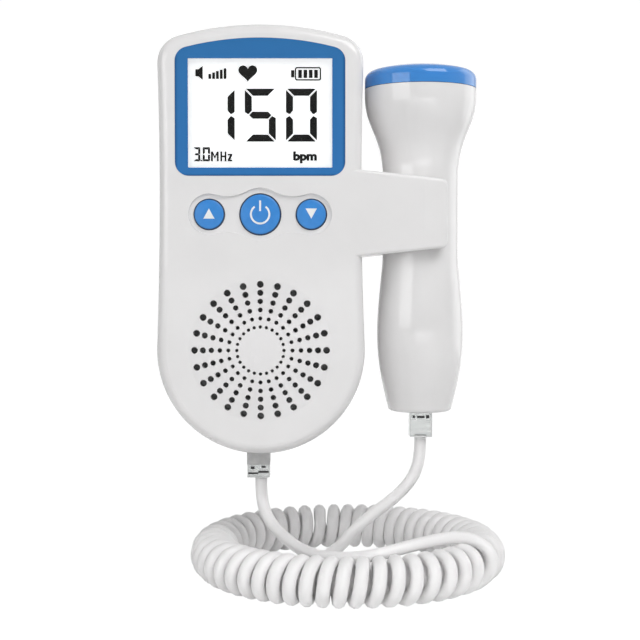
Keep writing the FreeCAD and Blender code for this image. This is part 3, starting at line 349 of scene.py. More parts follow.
def hard_coated_panel(name, upper, lower, rim_shade):
    """Painted and hard-coated acrylic: deep colour under a clear glossy coat, with painted shade at its sides
    and foot.
    """
    fade_low, fade_high, side_shade, foot_shade, pigment_size = 19.0, 60.0, 0.9, 0.7, 0.35
    material, place = blank(name)
    low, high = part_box("display_bezel")
    where = add_node(material, "ShaderNodeSeparateXYZ", {"Vector": place})
    fade = add_node(material, "ShaderNodeMapRange", {
        "Value": where.outputs["Z"], "From Min": fade_low, "From Max": fade_high})
    pigment = speckle(material, place, pigment_size, 0.0, 0.06)
    mixed = add_node(material, "ShaderNodeMath",
                     {0: fade.outputs["Result"], 1: pigment}, operation="ADD")
    # Painted shade: the sides and the foot darken to the rim colour, standing for the dark that a rounded
    # edge would mirror.
    side = add_node(material, "ShaderNodeMath", {0: where.outputs["X"]}, operation="ABSOLUTE")
    shade_at_side = add_node(material, "ShaderNodeMapRange", {
        "Value": side.outputs["Value"], "From Min": high.x / MM - side_shade, "From Max": high.x / MM})
    shade_at_foot = add_node(material, "ShaderNodeMapRange", {
        "Value": where.outputs["Z"], "From Min": low.z / MM + foot_shade, "From Max": low.z / MM})
    edge = add_node(material, "ShaderNodeMath", {
        0: shade_at_side.outputs["Result"], 1: shade_at_foot.outputs["Result"]}, operation="MAXIMUM")
    face = tint(material, mixed.outputs["Value"], lower, upper)
    colour = add_node(material, "ShaderNodeMix", {
        "Factor": edge.outputs["Value"], 6: face, 7: linear(rim_shade)}, data_type="RGBA")
    shader = add_node(material, "ShaderNodeBsdfPrincipled", {
        "Base Color": colour.outputs[2],
        "Roughness": 0.16,
        "IOR": 1.5,
        "Coat Weight": 0.3,
        "Coat Roughness": 0.05,
    })
    return output(material, shader.outputs["BSDF"])


def satin_key_plastic():
    """Spark-eroded keys: a fine satin grain of about 0.15 mm that softens the gloss, and painted shade on
    their skirts for the dark gap round each key.
    """
    crown_edge = KEY_FRONT + KEY_CROWN
    shade_starts, shade_ends, grain_size, tone_size = 0.03, 0.4, 0.15, 2.5
    material, place = blank("satin_key_plastic")
    where = add_node(material, "ShaderNodeSeparateXYZ", {"Vector": place})
    # Painted shade: behind the crown's edge the key's sides turn dark navy, standing for the shaded gap round
    # each key.
    painted_gap_shade = add_node(material, "ShaderNodeMapRange", {
        "Value": where.outputs["Y"], "From Min": crown_edge + shade_starts,
        "From Max": crown_edge + shade_ends})
    grain = speckle(material, place, grain_size, 0.0, 1.0, 3.0)
    tone = speckle(material, place, tone_size, 0.0, 1.0)
    face = tint(material, tone, "#3B90E0", "#368AD9")
    colour = add_node(material, "ShaderNodeMix", {
        "Factor": painted_gap_shade.outputs["Result"], 6: face, 7: linear("#15406F")}, data_type="RGBA")
    shader = add_node(material, "ShaderNodeBsdfPrincipled", {
        "Base Color": colour.outputs[2],
        "Roughness": 0.36,
        "IOR": 1.5,
        "Normal": ripple(material, grain, 0.004),
    })
    return output(material, shader.outputs["BSDF"])


def clear_acrylic():
    """Cast acrylic pane with an anti-reflective coat: nearly no colour and a weak mirror image."""
    material, place = blank("clear_acrylic")
    wipe_size = 9.0
    wipe = speckle(material, place, wipe_size, 0.01, 0.035)
    shader = add_node(material, "ShaderNodeBsdfPrincipled", {
        "Base Color": linear("#FDFEFE"),
        "Roughness": wipe,
        "IOR": 1.49,
        "Specular IOR Level": 0.12,
        "Transmission Weight": 1.0,
    })
    return output(material, shader.outputs["BSDF"])


def lit_display():
    """Liquid crystal cell over a white light guide: even white with a faint cell grid."""
    cell, line = 0.4, 0.01
    material, place = blank("lit_display")
    grid = add_node(material, "ShaderNodeTexBrick", {
        "Vector": place, "Scale": 1.0, "Mortar Size": line, "Brick Width": cell, "Row Height": cell,
        "Color1": linear("#FFFFFF"), "Color2": linear("#FEFEFE"), "Mortar": linear("#FAFBFB"),
    }, offset=0.0)
    shader = add_node(material, "ShaderNodeBsdfPrincipled", {
        "Base Color": grid.outputs["Color"],
        "Roughness": 0.3,
        "IOR": 1.5,
        "Emission Color": linear("#FFFFFF"),
        "Emission Strength": 0.6,
    })
    return output(material, shader.outputs["BSDF"])


def dark_segments():
    """Switched-on liquid crystal segments: near black, with a painted warm reflection that grows towards the
    upper left.
    """
    sheen_starts, sheen_full = 14.0, 36.0
    material, place = blank("dark_segments")
    where = add_node(material, "ShaderNodeSeparateXYZ", {"Vector": place})
    slope = add_node(material, "ShaderNodeMath",
                     {0: where.outputs["Z"], 1: where.outputs["X"]}, operation="SUBTRACT")
    # Painted reflection: from near black the segments pale to a warm dark grey towards the upper left.
    share = add_node(material, "ShaderNodeMapRange", {
        "Value": slope.outputs["Value"], "From Min": sheen_starts, "From Max": sheen_full})
    shader = add_node(material, "ShaderNodeBsdfPrincipled", {
        "Base Color": tint(material, share.outputs["Result"], "#000000", "#161512"),
        "Roughness": 0.6,
        "Specular IOR Level": 0.05,
    })
    return output(material, shader.outputs["BSDF"])


def screen_print():
    """White ink printed on the keys: matt, with the screen's slight unevenness."""
    mesh_size = 0.3
    material, place = blank("screen_print")
    tone = speckle(material, place, mesh_size, 0.0, 1.0)
    shader = add_node(material, "ShaderNodeBsdfPrincipled", {
        "Base Color": tint(material, tone, "#FAFBFB", "#F0F3F4"),
        "Roughness": 0.5,
        "IOR": 1.48,
    })
    return output(material, shader.outputs["BSDF"])


def soft_pvc():
    """Extruded flexible PVC jacket: smooth and slightly waxy, with faint drawing lines."""
    tone_size, skin_size = 6.0, 0.8
    material, place = blank("soft_pvc")
    tone = speckle(material, place, tone_size, 0.0, 1.0)
    skin = speckle(material, place, skin_size, 0.0, 1.0)
    shader = add_node(material, "ShaderNodeBsdfPrincipled", {
        "Base Color": tint(material, tone, "#FAF9F9", "#F6F5F5"),
        "Roughness": 0.32,
        "IOR": 1.53,
        "Normal": ripple(material, skin, 0.004),
    })
    return output(material, shader.outputs["BSDF"])


def clear_polycarbonate():
    """Moulded clear plug: a greyish see-through plastic with flow marks."""
    flow_size, swirl_size = 1.8, 1.2
    material, place = blank("clear_polycarbonate")
    flow = speckle(material, place, flow_size, 0.08, 0.22)
    swirl = speckle(material, place, swirl_size, 0.0, 1.0)
    shader = add_node(material, "ShaderNodeBsdfPrincipled", {
        "Base Color": linear("#D6D9D8"),
        "Roughness": flow,
        "IOR": 1.58,
        "Transmission Weight": 0.75,
        "Normal": ripple(material, swirl, 0.02),
    })
    return output(material, shader.outputs["BSDF"])


def grained(name, light, dark, rough, grain_size, grain_depth, metal=0.0):
    """Plain moulded, coated or sintered stuff, dulled by a grain; its size and depth are in millimetres."""
    material, place = blank(name)
    grain = speckle(material, place, grain_size, 0.0, 1.0, 4.0)
    tone = speckle(material, place, 6 * grain_size, 0.0, 1.0)
    shader = add_node(material, "ShaderNodeBsdfPrincipled", {
        "Base Color": tint(material, tone, light, dark),
        "Roughness": rough,
        "Metallic": metal,
        "Normal": ripple(material, grain, grain_depth),
    })
    return output(material, shader.outputs["BSDF"])


def make_materials():
    """Every finish of the monitor by name."""
    return {
        # Soft gloss of the case, with broad even highlights.
        "case": polished_abs("polished_white_abs", "#F2F1F1", "#EFEEEE"),
        # Brighter gloss of the handle, with clearer window shapes.
        "handle": polished_abs("polished_handle_abs", "#F0EFEF", "#EDECEC", 0.08),
        # Deep blue round the display, with painted shade along its sides and foot.
        "bezel": hard_coated_panel("blue_bezel_paint", "#3276B4", "#337ABF", "#25598F"),
        # Lighter glossy blue that mirrors the lamps in its rounded edge.
        "cap": polished_abs("blue_cap_abs", "#4691DE", "#438DDA", 0.09),
        "key": satin_key_plastic(),
        "pane": clear_acrylic(),
        "display": lit_display(),
        "segments": dark_segments(),
        "print": screen_print(),
        "cord": soft_pvc(),
        "clear_plug": clear_polycarbonate(),
        # Dull light grey sleeve between the white case and the clear plug; its grey is partly painted shade
        # from the case above.
        "collar": grained("grey_collar_and_shade", "#C9C9C9", "#B9B9B9", 0.4, 0.3, 0.005),
        # Mid grey line inside the clear plug.
        "smoky": grained("smoky_plug_insert", "#8C8D8D", "#7E7F7F", 0.4, 0.3, 0.004),
        # Dull white of hidden trays and holders.
        "inner_white": grained("inner_white_plastic", "#E2E3E1", "#D8DAD8", 0.5, 0.3, 0.004),
        # Near black with a dull sheen: sockets, switches, chips.
        "black": grained("black_moulded_plastic", "#17181A", "#0F1011", 0.45, 0.2, 0.006),
        # Glossy green of the boards.
        "board": grained("green_solder_mask", "#1C6B3C", "#175A32", 0.35, 0.5, 0.003),
        # Bluish bright metal: screws and the loudspeaker's basket.
        "steel": grained("zinc_plated_steel", "#B9BCC0", "#A4A8AD", 0.32, 0.15, 0.003, 1.0),
        # Warm bright metal of the battery contacts.
        "nickel": grained("nickel_plated_spring_steel", "#C9C6BE", "#B8B5AD", 0.25, 0.2, 0.002, 1.0),
        # Yellow glints of the plugs' blades.
        "gold": grained("gold_plated_contacts", "#E3BE6C", "#D3AC58", 0.22, 0.1, 0.002, 1.0),
        # Dark dull ceramic of the magnet.
        "ferrite": grained("sintered_ferrite", "#2B2B2D", "#222224", 0.6, 0.1, 0.01),
        # Mid grey film that makes the grille's holes look dark, not black.
        "cone": grained("grey_speaker_film", "#A5A6A7", "#9A9B9C", 0.55, 0.4, 0.01),
        # Very dull dark foam with open cells.
        "foam": grained("open_cell_foam", "#2A2B2C", "#1C1D1E", 0.9, 0.5, 0.08),
        # Dull dark grey of seals and leads.
        "rubber": grained("moulded_seal_rubber", "#3A3B3C", "#303132", 0.7, 0.25, 0.01),
        # Warm grey of the silvered crystals.
        "piezo": grained("silvered_piezo_ceramic", "#B9B4A8", "#A8A397", 0.45, 0.1, 0.004),
        # Plain grey foil round the cells and capacitors.
        "sleeve": grained("battery_sleeve_foil", "#7C8086", "#6B6F75", 0.3, 0.4, 0.003),
    }


NODE_FINISH = {
    "front_shell": "case", "rear_shell": "case", "battery_cover": "case",
    "battery_cells": "sleeve", "battery_contacts": "nickel", "battery_link": "nickel",
    "display_bezel": "bezel", "display_lens": "pane", "lcd_glass": "display",
    "lcd_frame": "inner_white", "backlight_plate": "inner_white", "zebra_strip": "rubber",
    "main_board": "board", "board_screws": "steel", "board_chips": "black",
    "board_capacitors": "sleeve", "case_screws": "steel", "switch_bodies": "black",
    "speaker_gasket": "foam", "speaker_frame": "steel", "speaker_magnet": "ferrite",
    "speaker_cone": "cone", "headphone_jack": "black", "unit_socket": "black",
    "unit_plug": "clear_plug", "unit_plug_contacts": "gold",
    "probe_shell_front": "handle", "probe_shell_rear": "handle", "probe_cap": "cap",
    "cap_seal": "rubber", "crystal_transmit": "piezo", "crystal_receive": "piezo",
    "crystal_backing": "foam", "crystal_holder": "inner_white", "probe_board": "board",
    "probe_chips": "black", "probe_leads": "rubber", "probe_socket": "black",
    "probe_plug": "clear_plug", "probe_plug_contacts": "gold",
    "cord_tail_unit": "cord", "cord_curl": "cord", "cord_tail_probe": "cord",
    "button_up": "key", "button_power": "key", "button_down": "key",
    "switch_stem_up": "black", "switch_stem_power": "black", "switch_stem_down": "black",
}


def dress_nodes(finishes):
    """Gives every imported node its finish."""
    for name, finish in NODE_FINISH.items():
        data = frame["nodes"][name].data
        data.materials.clear()
        data.materials.append(finishes[finish])


# ---- display reading and key signs ----
def flat_sign(name, outlines, front, depth):
    """Thin plate facing the reader, from closed outlines in X and Z; inner outlines are holes."""
    data = bpy.data.curves.new(name, "CURVE")
    data.dimensions = "2D"
    data.fill_mode = "BOTH"
    data.extrude = depth / 2 * MM
    for outline in outlines:
        spline = data.splines.new("POLY")
        spline.points.add(len(outline) - 1)
        for point, (x, z) in zip(spline.points, outline):
            point.co = (x * MM, z * MM, 0, 1)
        spline.use_cyclic_u = True
    plate = bpy.data.objects.new(name, data)
    bpy.context.scene.collection.objects.link(plate)
    return upright_sign(plate, 0, 0, front, depth)


def upright_sign(plate, x, z, front, depth):
    """Turns a flat curve or text into a closed mesh that stands up and faces the reader."""
    pick(plate)
    bpy.ops.object.convert(target="MESH")
    plate = bpy.context.object
    plate.rotation_euler = (math.pi / 2, 0, 0)
    plate.location = metres(x, front + depth / 2, z)
    settle(plate)
    close_up(plate)
    return plate


def display_print(name, outlines):
    """Thin dark print on the front of the display's cell."""
    return flat_sign(name, outlines, LCD_FRONT - PRINT_DEPTH, PRINT_DEPTH)


def segment_shapes(left, bottom, width, height, stroke, gap):
    """Outlines of the seven segments of one digit, with mitred and pointed ends."""
    right = left + width
    top = bottom + height
    middle = bottom + height / 2
    half = stroke / 2
    shoulder = 0.35 * stroke
    notch = 0.08 * stroke

    def level(z_outer, inward):
        """Top or bottom segment: long outside, mitred towards the inside."""
        z_inner = z_outer + inward * stroke
        return [(left + gap, z_outer), (right - gap, z_outer),
                (right - gap - stroke, z_inner), (left + gap + stroke, z_inner)]

    def side(x_outer, inward, z_far, up):
        """Side segment: mitred at the far end, blunt point at the middle."""
        x_inner = x_outer + inward * stroke
        x_mid = x_outer + inward * half
        z_mid = middle + up * gap / 2
        return [(x_outer, z_far - up * gap), (x_inner, z_far - up * (gap + stroke)),
                (x_inner, z_mid + up * (half + notch)), (x_mid + inward * notch, z_mid + up * notch),
                (x_mid - inward * notch, z_mid + up * notch), (x_outer, z_mid + up * shoulder)]

    tip = half + 0.7 * gap
    bar = [(left + tip, middle), (left + tip + half, middle + half),
           (right - tip - half, middle + half), (right - tip, middle),
           (right - tip - half, middle - half), (left + tip + half, middle - half)]
    return {
        "top": level(top, -1), "bottom": level(bottom, 1), "bar": bar,
        "upper_left": side(left, 1, top, 1), "lower_left": side(left, 1, bottom, -1),
        "upper_right": side(right, -1, top, 1), "lower_right": side(right, -1, bottom, -1),
    }


LIT_SEGMENTS = {
    "0": ("top", "upper_left", "lower_left", "bottom", "lower_right", "upper_right"),
    "1": ("upper_right", "lower_right"),
    "3": ("top", "upper_right", "bar", "lower_right", "bottom"),
    "5": ("top", "upper_left", "bar", "lower_right", "bottom"),
}


def digit_shapes(digit, left, bottom, width, height, stroke, gap):
    """Outlines of one lit digit."""
    shapes = segment_shapes(left, bottom, width, height, stroke, gap)
    return [shapes[name] for name in LIT_SEGMENTS[digit]]


def block(left, right, bottom, top):
    """Outline of an upright rectangle."""
    return [(left, bottom), (right, bottom), (right, top), (left, top)]


def clipped_block(left, right, bottom, top, cut):
    """Outline of an upright rectangle with its corners cut off."""
    return [(left + cut, bottom), (right - cut, bottom), (right, bottom + cut), (right, top - cut),
            (right - cut, top), (left + cut, top), (left, top - cut), (left, bottom + cut)]


def reading_digits():
    """Large reading in the middle of the display."""
    outlines = []
    for place, digit in enumerate("150"):
        left = LAST_DIGIT_LEFT + (place - 2) * DIGIT_PITCH
        outlines += digit_shapes(digit, left, DIGIT_BOTTOM, DIGIT_WIDTH, DIGIT_HEIGHT,
                                 DIGIT_STROKE, DIGIT_GAP)
    return display_print("reading_digits", outlines)


def frequency_digits():
    """Small figure at the lower left of the display."""
    bottom, height, stroke, gap = SMALL_BOTTOM, 4.3, 0.68, 0.03
    first_left, first_width, second_left, second_width = -20.4, 2.1, -17.6, 2.25
    dot_left, dot_right, dot_height = -18.2, -17.75, 0.5
    outlines = digit_shapes("3", first_left, bottom, first_width, height, stroke, gap)
    outlines += digit_shapes("0", second_left, bottom, second_width, height, stroke, gap)
    outlines.append(block(dot_left, dot_right, bottom, bottom + dot_height))
    return display_print("frequency_digits", outlines)


def frequency_unit():
    """Unit symbol beside the small figure, in upright strokes like the figure's."""
    bottom, stroke, thin, dip = SMALL_BOTTOM, 0.56, 0.5, 1.4
    top, small_top = bottom + 3.0, bottom + 2.3
    left, right = -15.05, -12.7
    middle = (left + right) / 2
    letter_m = [
        (left, bottom), (left, top), (left + stroke, top), (middle, top - dip),
        (right - stroke, top), (right, top), (right, bottom), (right - stroke, bottom),
        (right - stroke, top - 1.8 * stroke), (middle, top - dip - 1.6 * stroke),
        (left + stroke, top - 1.8 * stroke), (left + stroke, bottom)]
    left, right = -12.2, -10.35
    middle = (bottom + top) / 2
    letter_h = [
        (left, bottom), (left, top), (left + stroke, top), (left + stroke, middle + thin / 2),
        (right - stroke, middle + thin / 2), (right - stroke, top), (right, top), (right, bottom),
        (right - stroke, bottom), (right - stroke, middle - thin / 2),
        (left + stroke, middle - thin / 2), (left + stroke, bottom)]
    left, right = -9.95, -8.55
    letter_z = [
        (left, bottom), (right, bottom), (right, bottom + thin), (left + 1.5 * thin, bottom + thin),
        (right, small_top - thin), (right, small_top), (left, small_top), (left, small_top - thin),
        (right - 1.5 * thin, small_top - thin), (left, bottom + thin)]
    return display_print("frequency_unit", [letter_m, letter_h, letter_z])


def lettering(name, words, left, bottom, size, widen, bold):
    """Unit symbol in the display's plain type."""
    data = bpy.data.curves.new(name, "FONT")
    data.body = words
    data.size = size * MM
    data.extrude = PRINT_DEPTH / 2 * MM
    data.offset = bold * MM
    data.resolution_u = 4
    text = bpy.data.objects.new(name, data)
    bpy.context.scene.collection.objects.link(text)
    text.scale.x = widen
    pick(text)
    bpy.ops.object.convert(target="MESH")
    return upright_sign(bpy.context.object, left, bottom, LCD_FRONT - PRINT_DEPTH, PRINT_DEPTH)


def heart_sign():
    """Heart between the loudness and the battery signs, drawn by the usual sums of cosines."""
    centre_x, centre_z, width, height, lift = -3.78, 50.05, 5.8, 5.15, 0.09
    steps = 48
    outline = []
    for step in range(steps):
        turn = 2 * math.pi * step / steps
        x = math.sin(turn) ** 3
        z = (13 * math.cos(turn) - 5 * math.cos(2 * turn) - 2 * math.cos(3 * turn) - math.cos(4 * turn)) / 29
        outline.append((centre_x + x * width / 2, centre_z + (z + lift) * height))
    return display_print("heart_sign", [outline])


def battery_sign():
    """Full battery: an outline with a terminal on the left and four bars."""
    left, right, bottom, top, stroke, cut = 10.55, 18.55, 48.0, 52.1, 0.42, 0.45
    knob_length, knob_gap, knob_inset = 1.15, 0.12, 0.95
    bars, first_bar, bar_pitch, half_bar, bar_foot, bar_head = 4, 1.58, 1.62, 0.56, 0.78, 0.82
    outlines = [
        clipped_block(left, right, bottom, top, cut),
        clipped_block(left + stroke, right - stroke, bottom + stroke, top - stroke, cut / 2),
        block(left - knob_length, left - knob_gap, bottom + knob_inset, top - knob_inset),
    ]
    for index in range(bars):
        middle = left + first_bar + index * bar_pitch
        outlines.append(block(middle - half_bar, middle + half_bar, bottom + bar_foot, top - bar_head))
    return display_print("battery_sign", outlines)


def loudness_sign():
    """Loudspeaker with five rising bars."""
    left, middle, neck, mouth, small, large = -19.75, 50.35, 0.95, 2.25, 1.1, 2.2
    bars, first_bar, bar_pitch, half_bar, foot, head, rise = 5, -15.35, 1.16, 0.43, 48.5, 50.05, 0.42
    cone = [(left, middle - small), (left + neck, middle - small), (left + mouth, middle - large),
            (left + mouth, middle + large), (left + neck, middle + small), (left, middle + small)]
    outlines = [cone]
    for index in range(bars):
        x = first_bar + index * bar_pitch
        outlines.append(block(x - half_bar, x + half_bar, foot, head + index * rise))
    return display_print("loudness_sign", outlines)


def drape_on_key(sign, key_x, key_radius):
    """Lets a flat sign follow a key's crowned face."""
    edit(sign)
    bpy.ops.mesh.quads_convert_to_tris()
    bpy.ops.mesh.subdivide(number_cuts=3)
    bpy.ops.object.mode_set(mode="OBJECT")
    ball = (key_radius ** 2 + KEY_CROWN ** 2) / (2 * KEY_CROWN) * MM
    centre = metres(key_x, 0, KEY_Z)
    for point in sign.data.vertices:
        off = math.hypot(point.co.x - centre.x, point.co.z - centre.z)
        point.co.y += ball - math.sqrt(ball ** 2 - off ** 2)
    return sign


def arrow_sign(name, key_x, up):
    """Triangle on a side key; up is 1 or -1."""
    half, rise, lift = 1.72, 1.55, 0.2
    outline = [(key_x - half, KEY_Z + lift - up * rise), (key_x + half, KEY_Z + lift - up * rise),
               (key_x, KEY_Z + lift + up * rise)]
    sign = flat_sign(name, [outline], KEY_FRONT - PRINT_ON_KEY / 2, PRINT_ON_KEY)
    return drape_on_key(sign, key_x, SIDE_KEY_RADIUS)


def power_sign():
    """Open ring with an upright bar."""
    radius, stroke, gap, bar_low, bar_high = 3.1, 0.58, 36.0, 0.95, 4.2
    steps = 36
    outer = []
    inner = []
    for step in range(steps + 1):
        turn = math.radians(90 + gap + step * (360 - 2 * gap) / steps)
        outer.append((radius * math.cos(turn), KEY_Z + radius * math.sin(turn)))
        inner.append(((radius - stroke) * math.cos(turn), KEY_Z + (radius - stroke) * math.sin(turn)))
    ring = outer + inner[::-1]
    bar = block(-stroke / 2, stroke / 2, KEY_Z + bar_low, KEY_Z + bar_high)
    sign = flat_sign("power_sign", [ring, bar], KEY_FRONT - PRINT_ON_KEY / 2, PRINT_ON_KEY)
    return drape_on_key(sign, 0.0, POWER_KEY_RADIUS)


def make_signs(finishes):
    """Display reading and the signs on the keys."""
    shown = [
        reading_digits(), frequency_digits(), heart_sign(), battery_sign(), loudness_sign(),
        frequency_unit(),
        lettering("rate_unit", "bpm", left=10.0, bottom=23.9, size=3.6, widen=1.14, bold=0.2),
    ]
    for sign in shown:
        dress(sign, "unit", finishes["segments"])
    dress(arrow_sign("up_arrow", -KEY_PITCH, 1), "up_key", finishes["print"])
    dress(arrow_sign("down_arrow", KEY_PITCH, -1), "down_key", finishes["print"])
    dress(power_sign(), "power_key", finishes["print"])


# ---- cord ----
def open_spline(name, points, wound_from=None):
    """Curve of one open smooth spline with these control points, in millimetres."""
    data = bpy.data.curves.new(name, "CURVE")
    data.dimensions = "3D"
    spline = data.splines.new("NURBS")
    spline.points.add(len(points) - 1)
    for point, place in zip(spline.points, points):
        point.co = (*metres(*place), 1)
    for point in spline.points[wound_from:] if wound_from else []:
        point.radius = WOUND_WIDTH
    spline.order_u = 3
    spline.use_endpoint_u = True
    curve = bpy.data.objects.new(name, data)
    bpy.context.scene.collection.objects.link(curve)
    return curve


def line_of(curve):
    """Points along a curve that has no thickness yet."""
    bpy.context.view_layer.update()
    shape = curve.evaluated_get(bpy.context.evaluated_depsgraph_get())
    mesh = bpy.data.meshes.new_from_object(shape)
    return [point.co.copy() for point in mesh.vertices]


def thicken(curve, roundness, steps):
    """Gives a curve the cord's round section."""
    curve.data.resolution_u = steps
    curve.data.bevel_depth = CORD_RADIUS * MM
    curve.data.bevel_resolution = roundness
    curve.data.use_fill_caps = True


def curl_points():
    """Control points of the curl, from the first turn's outer side to the last turn's bottom."""
    points = []
    steps = round(TURNS * POINTS_PER_TURN)
    helix = (COIL_RADIUS - CORD_RADIUS) / SPLINE_SHRINK
    for step in range(FIRST_STEP, steps + 1):
        lap = 2 * math.pi * step / steps
        lap += SINGLE_WAVE * math.sin(lap) + DOUBLE_WAVE * math.sin(2 * lap)
        around = math.radians(RING_START + RING_SWEEP * lap / (2 * math.pi))
        wound = 2 * math.pi * step / POINTS_PER_TURN
        reach = RING_RADIUS + helix * math.sin(wound)
        points.append((RING_CENTRE[0] + reach * math.cos(around),
                       RING_CENTRE[1] + reach * math.sin(around),
                       RING_CENTRE[2] + helix * math.cos(wound)))
    return points


def length_of(points):
    """Length along a row of points."""
    return sum((b - a).length for a, b in zip(points, points[1:]))


def curly_cord(finishes):
    """Cord from the unit's plug into the ring of turns."""
    cord = open_spline("curly_cord", UNIT_CORD_ROUTE + FIRST_TURN + curl_points(), len(UNIT_CORD_ROUTE))
    cord.data.resolution_u = CURL_STEPS
    length = length_of(line_of(cord))
    thicken(cord, CURL_ROUNDNESS, CURL_STEPS)
    dress(cord, "unit", finishes["cord"])
    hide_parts("cord_tail_unit", "cord_curl")


def probe_cord(finishes):
    """Cord from the last turn up to the probe's plug."""
    cord = open_spline("probe_cord", PROBE_CORD_ROUTE)
    cord.data.resolution_u = PROBE_STEPS
    path = line_of(cord)
    thicken(cord, PROBE_ROUNDNESS, PROBE_STEPS)
    pick(cord)
    bpy.ops.object.convert(target="MESH")
    cord = bpy.context.object
    bpy.ops.object.shade_smooth()
    cord.data.materials.clear()
    cord.data.materials.append(finishes["cord"])
    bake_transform(cord)
    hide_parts("cord_tail_probe")


# ---- plugs ----
def plug_marks(name, node, body, marks, finish):
    """Thin plates on a plug's front."""
    low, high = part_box(node)
    middle = (low.x + high.x) / 2 / MM
    bottom = low.z / MM
    outlines = [block(middle + left, middle + right, bottom + under, bottom + over)
                for left, right, under, over in marks]
    plates = flat_sign(name, outlines, low.y / MM - MARK_PROUD, 2 * MARK_PROUD)
    dress(plates, body, finish)


def plug_collar(finishes):
    """Grey sleeve round the unit's plug, just under the case, partly standing for the case's shade on the
    plug's top.
    """
    low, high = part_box("unit_plug")
    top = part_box("front_shell")[0].z / MM + COLLAR_SINK
    middle = (low + high) / 2 / MM
    width = (high.x - low.x) / MM + 2 * COLLAR_PROUD
    depth = (high.y - low.y) / MM + 2 * COLLAR_PROUD
    deselect()
    bpy.ops.mesh.primitive_cube_add(size=1.0, location=metres(middle.x, middle.y, top - COLLAR_HEIGHT / 2),
                                    scale=metres(width, depth, COLLAR_HEIGHT))
    sleeve = bpy.context.object
    sleeve.name = "unit_plug_collar"
    settle(sleeve)
    edit(sleeve)
    bpy.ops.mesh.bevel(offset=COLLAR_EDGE * MM, segments=3, affect="EDGES")
    bpy.ops.object.mode_set(mode="OBJECT")
    bpy.ops.object.shade_smooth_by_angle(angle=math.radians(40))
    # The sleeve's grey is partly painted shade from the case above the plug.
    dress(sleeve, "unit", finishes["collar"])


def plug_details(finishes):
    """Collar, contact slots and the crimp's edge, which show at the plugs' fronts; the collar's grey and the
    slots' black are partly painted shade.
    """
    plug_collar(finishes)
    # The black slot plates are painted shade in the contact slots' openings.
    plug_marks("unit_plug_slot_shades", "unit_plug", "unit", UNIT_SLOT_SHADES, finishes["black"])
    plug_marks("unit_plug_crimp", "unit_plug", "unit", UNIT_CRIMP, finishes["black"])
    plug_marks("probe_plug_slot_shades", "probe_plug", "probe", PROBE_SLOT_SHADES, finishes["black"])
    plug_marks("probe_plug_crimp", "probe_plug", "probe", PROBE_CRIMP, finishes["smoky"])


# ---- studio ----
def seen_directly(material, rays, spoilers):
    """1 for camera rays and for these kinds of ray while the spoilers count no bounce, 0 for the rest."""
    path = add_node(material, "ShaderNodeLightPath")
    bounces = 0.0
    for spoiler in spoilers:
        bounces = add_node(material, "ShaderNodeMath", {0: bounces, 1: path.outputs[spoiler]},
                           operation="ADD").outputs["Value"]
    unspoilt = add_node(material, "ShaderNodeMath", {0: bounces, 1: 0.5},
                        operation="LESS_THAN").outputs["Value"]
    seen = path.outputs["Is Camera Ray"]
    for ray in rays:
        clean = add_node(material, "ShaderNodeMath", {0: path.outputs[ray], 1: unspoilt},
                         operation="MULTIPLY").outputs["Value"]
        seen = add_node(material, "ShaderNodeMath", {0: seen, 1: clean}, operation="MAXIMUM").outputs["Value"]
    return seen


def white_studio():
    """World that is plain white where it is seen and dimmer where it lights."""
    world = bpy.data.worlds.new("white_studio")
    bpy.context.scene.world = world
    world.use_nodes = True
    world.node_tree.nodes.clear()
    direction = add_node(world, "ShaderNodeTexCoord")
    depth = add_node(world, "ShaderNodeSeparateXYZ", {"Vector": direction.outputs["Generated"]})
    room = add_node(world, "ShaderNodeMapRange", {
        "Value": depth.outputs["Y"], "From Min": -0.8, "From Max": 0.4,
        "To Min": ROOM_FRONT, "To Max": ROOM_BACK})
    path = add_node(world, "ShaderNodeLightPath")
    through = add_node(world, "ShaderNodeMath", {
        0: path.outputs["Is Glossy Ray"], 1: path.outputs["Is Transmission Ray"]}, operation="MAXIMUM")
    mirrored = add_node(world, "ShaderNodeMix", {
        "Factor": through.outputs["Value"], 2: ROOM_MIRRORED, 3: room.outputs["Result"]})
    seen = seen_directly(world, ["Is Transmission Ray"], ["Diffuse Depth", "Glossy Depth"])
    strength = add_node(world, "ShaderNodeMix", {"Factor": seen, 2: mirrored.outputs[0], 3: 1.0})
    background = add_node(world, "ShaderNodeBackground", {
        "Color": linear("#FFFFFF"), "Strength": strength.outputs[0]})
    add_node(world, "ShaderNodeOutputWorld", {"Surface": background.outputs["Background"]})


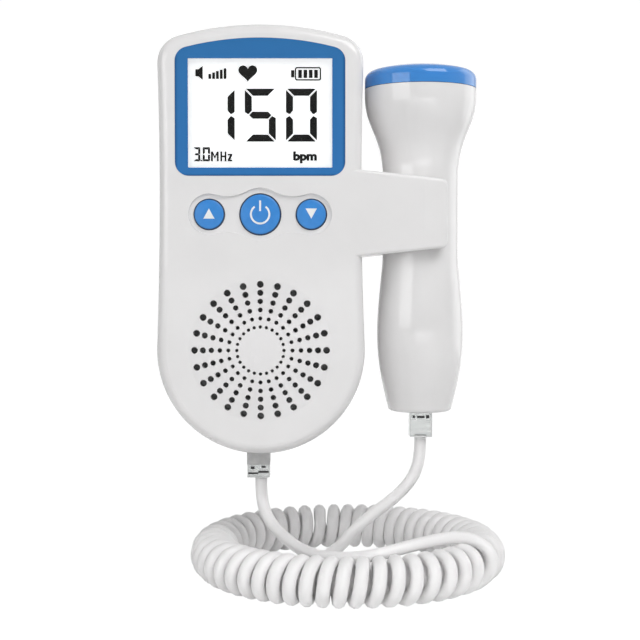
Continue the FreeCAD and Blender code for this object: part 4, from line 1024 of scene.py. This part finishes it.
def backdrop():
    """Floor that curves up behind the object, white with a soft shadow."""
    floor_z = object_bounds()[0].z
    deselect()
    bpy.ops.mesh.primitive_plane_add(size=FLOOR_SIZE, location=(0, 0, floor_z))
    sweep = bpy.context.object
    sweep.name = "backdrop"
    bpy.ops.object.mode_set(mode="EDIT")
    bpy.ops.mesh.select_all(action="DESELECT")
    bpy.ops.object.mode_set(mode="OBJECT")
    for edge in sweep.data.edges:
        edge.select = all(sweep.data.vertices[i].co.y > 0.45 * FLOOR_SIZE for i in edge.vertices)
    bpy.ops.object.mode_set(mode="EDIT")
    bpy.ops.mesh.select_mode(type="EDGE")
    bpy.ops.mesh.extrude_region_move(TRANSFORM_OT_translate={"value": (0, 0, WALL_HEIGHT)})
    bpy.ops.object.mode_set(mode="OBJECT")
    fold = sweep.modifiers.new("fold", "BEVEL")
    fold.width = FOLD_WIDTH
    fold.segments = FOLD_STEPS
    bpy.ops.object.modifier_apply(modifier="fold")
    bpy.ops.object.shade_smooth()
    settle(sweep)
    material = bpy.data.materials.new("matt_white_paper")
    material.use_nodes = True
    material.node_tree.nodes.clear()
    seen = seen_directly(material, ["Is Glossy Ray", "Is Transmission Ray"], ["Diffuse Depth"])
    share = add_node(material, "ShaderNodeMath", {0: seen, 1: GLOW_SHARE}, operation="MULTIPLY")
    paper = add_node(material, "ShaderNodeBsdfDiffuse", {"Color": linear("#EFEFEF")})
    glow = add_node(material, "ShaderNodeEmission", {"Color": linear("#FFFFFF"), "Strength": GLOW_STRENGTH})
    mixed = add_node(material, "ShaderNodeMixShader", {
        0: share.outputs["Value"], 1: paper.outputs["BSDF"], 2: glow.outputs["Emission"]})
    sweep.data.materials.append(output(material, mixed.outputs["Shader"]))
    sweep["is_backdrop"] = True


def softbox(name, place, aim, width, height, power, spread):
    """Rectangular soft light aimed at a point."""
    data = bpy.data.lights.new(name, "AREA")
    data.shape = "RECTANGLE"
    data.size = width * MM
    data.size_y = height * MM
    data.energy = power
    data.spread = math.radians(spread)
    lamp = bpy.data.objects.new(name, data)
    bpy.context.scene.collection.objects.link(lamp)
    lamp.visible_camera = False
    lamp.location = metres(*place)
    lamp.rotation_euler = (metres(*aim) - metres(*place)).to_track_quat("-Z", "Y").to_euler()


def studio_lights():
    """Key lamp over the right front, window on the left, low fill, gridded strip on the ring, rim panel."""
    for lamp in SOFTBOXES:
        softbox(*lamp)


def front_camera():
    """Camera in front of the case's lower half, looking slightly down."""
    data = bpy.data.cameras.new("front_camera")
    data.lens = CAMERA_LENS
    data.sensor_width = SENSOR_WIDTH
    data.clip_start = 0.01
    camera = bpy.data.objects.new("front_camera", data)
    bpy.context.scene.collection.objects.link(camera)
    camera.location = metres(*CAMERA_PLACE)
    camera.rotation_euler = (math.radians(90 - CAMERA_PITCH), 0, 0)
    bpy.context.scene.camera = camera


# ---- everything together ----
for leftover in list(bpy.data.objects):
    bpy.data.objects.remove(leftover)
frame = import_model()
bpy.context.scene.view_settings.view_transform = "Standard"

finishes = make_materials()
dress_nodes(finishes)
curly_cord(finishes)
probe_cord(finishes)
plug_details(finishes)
make_signs(finishes)
white_studio()
backdrop()
studio_lights()
front_camera()
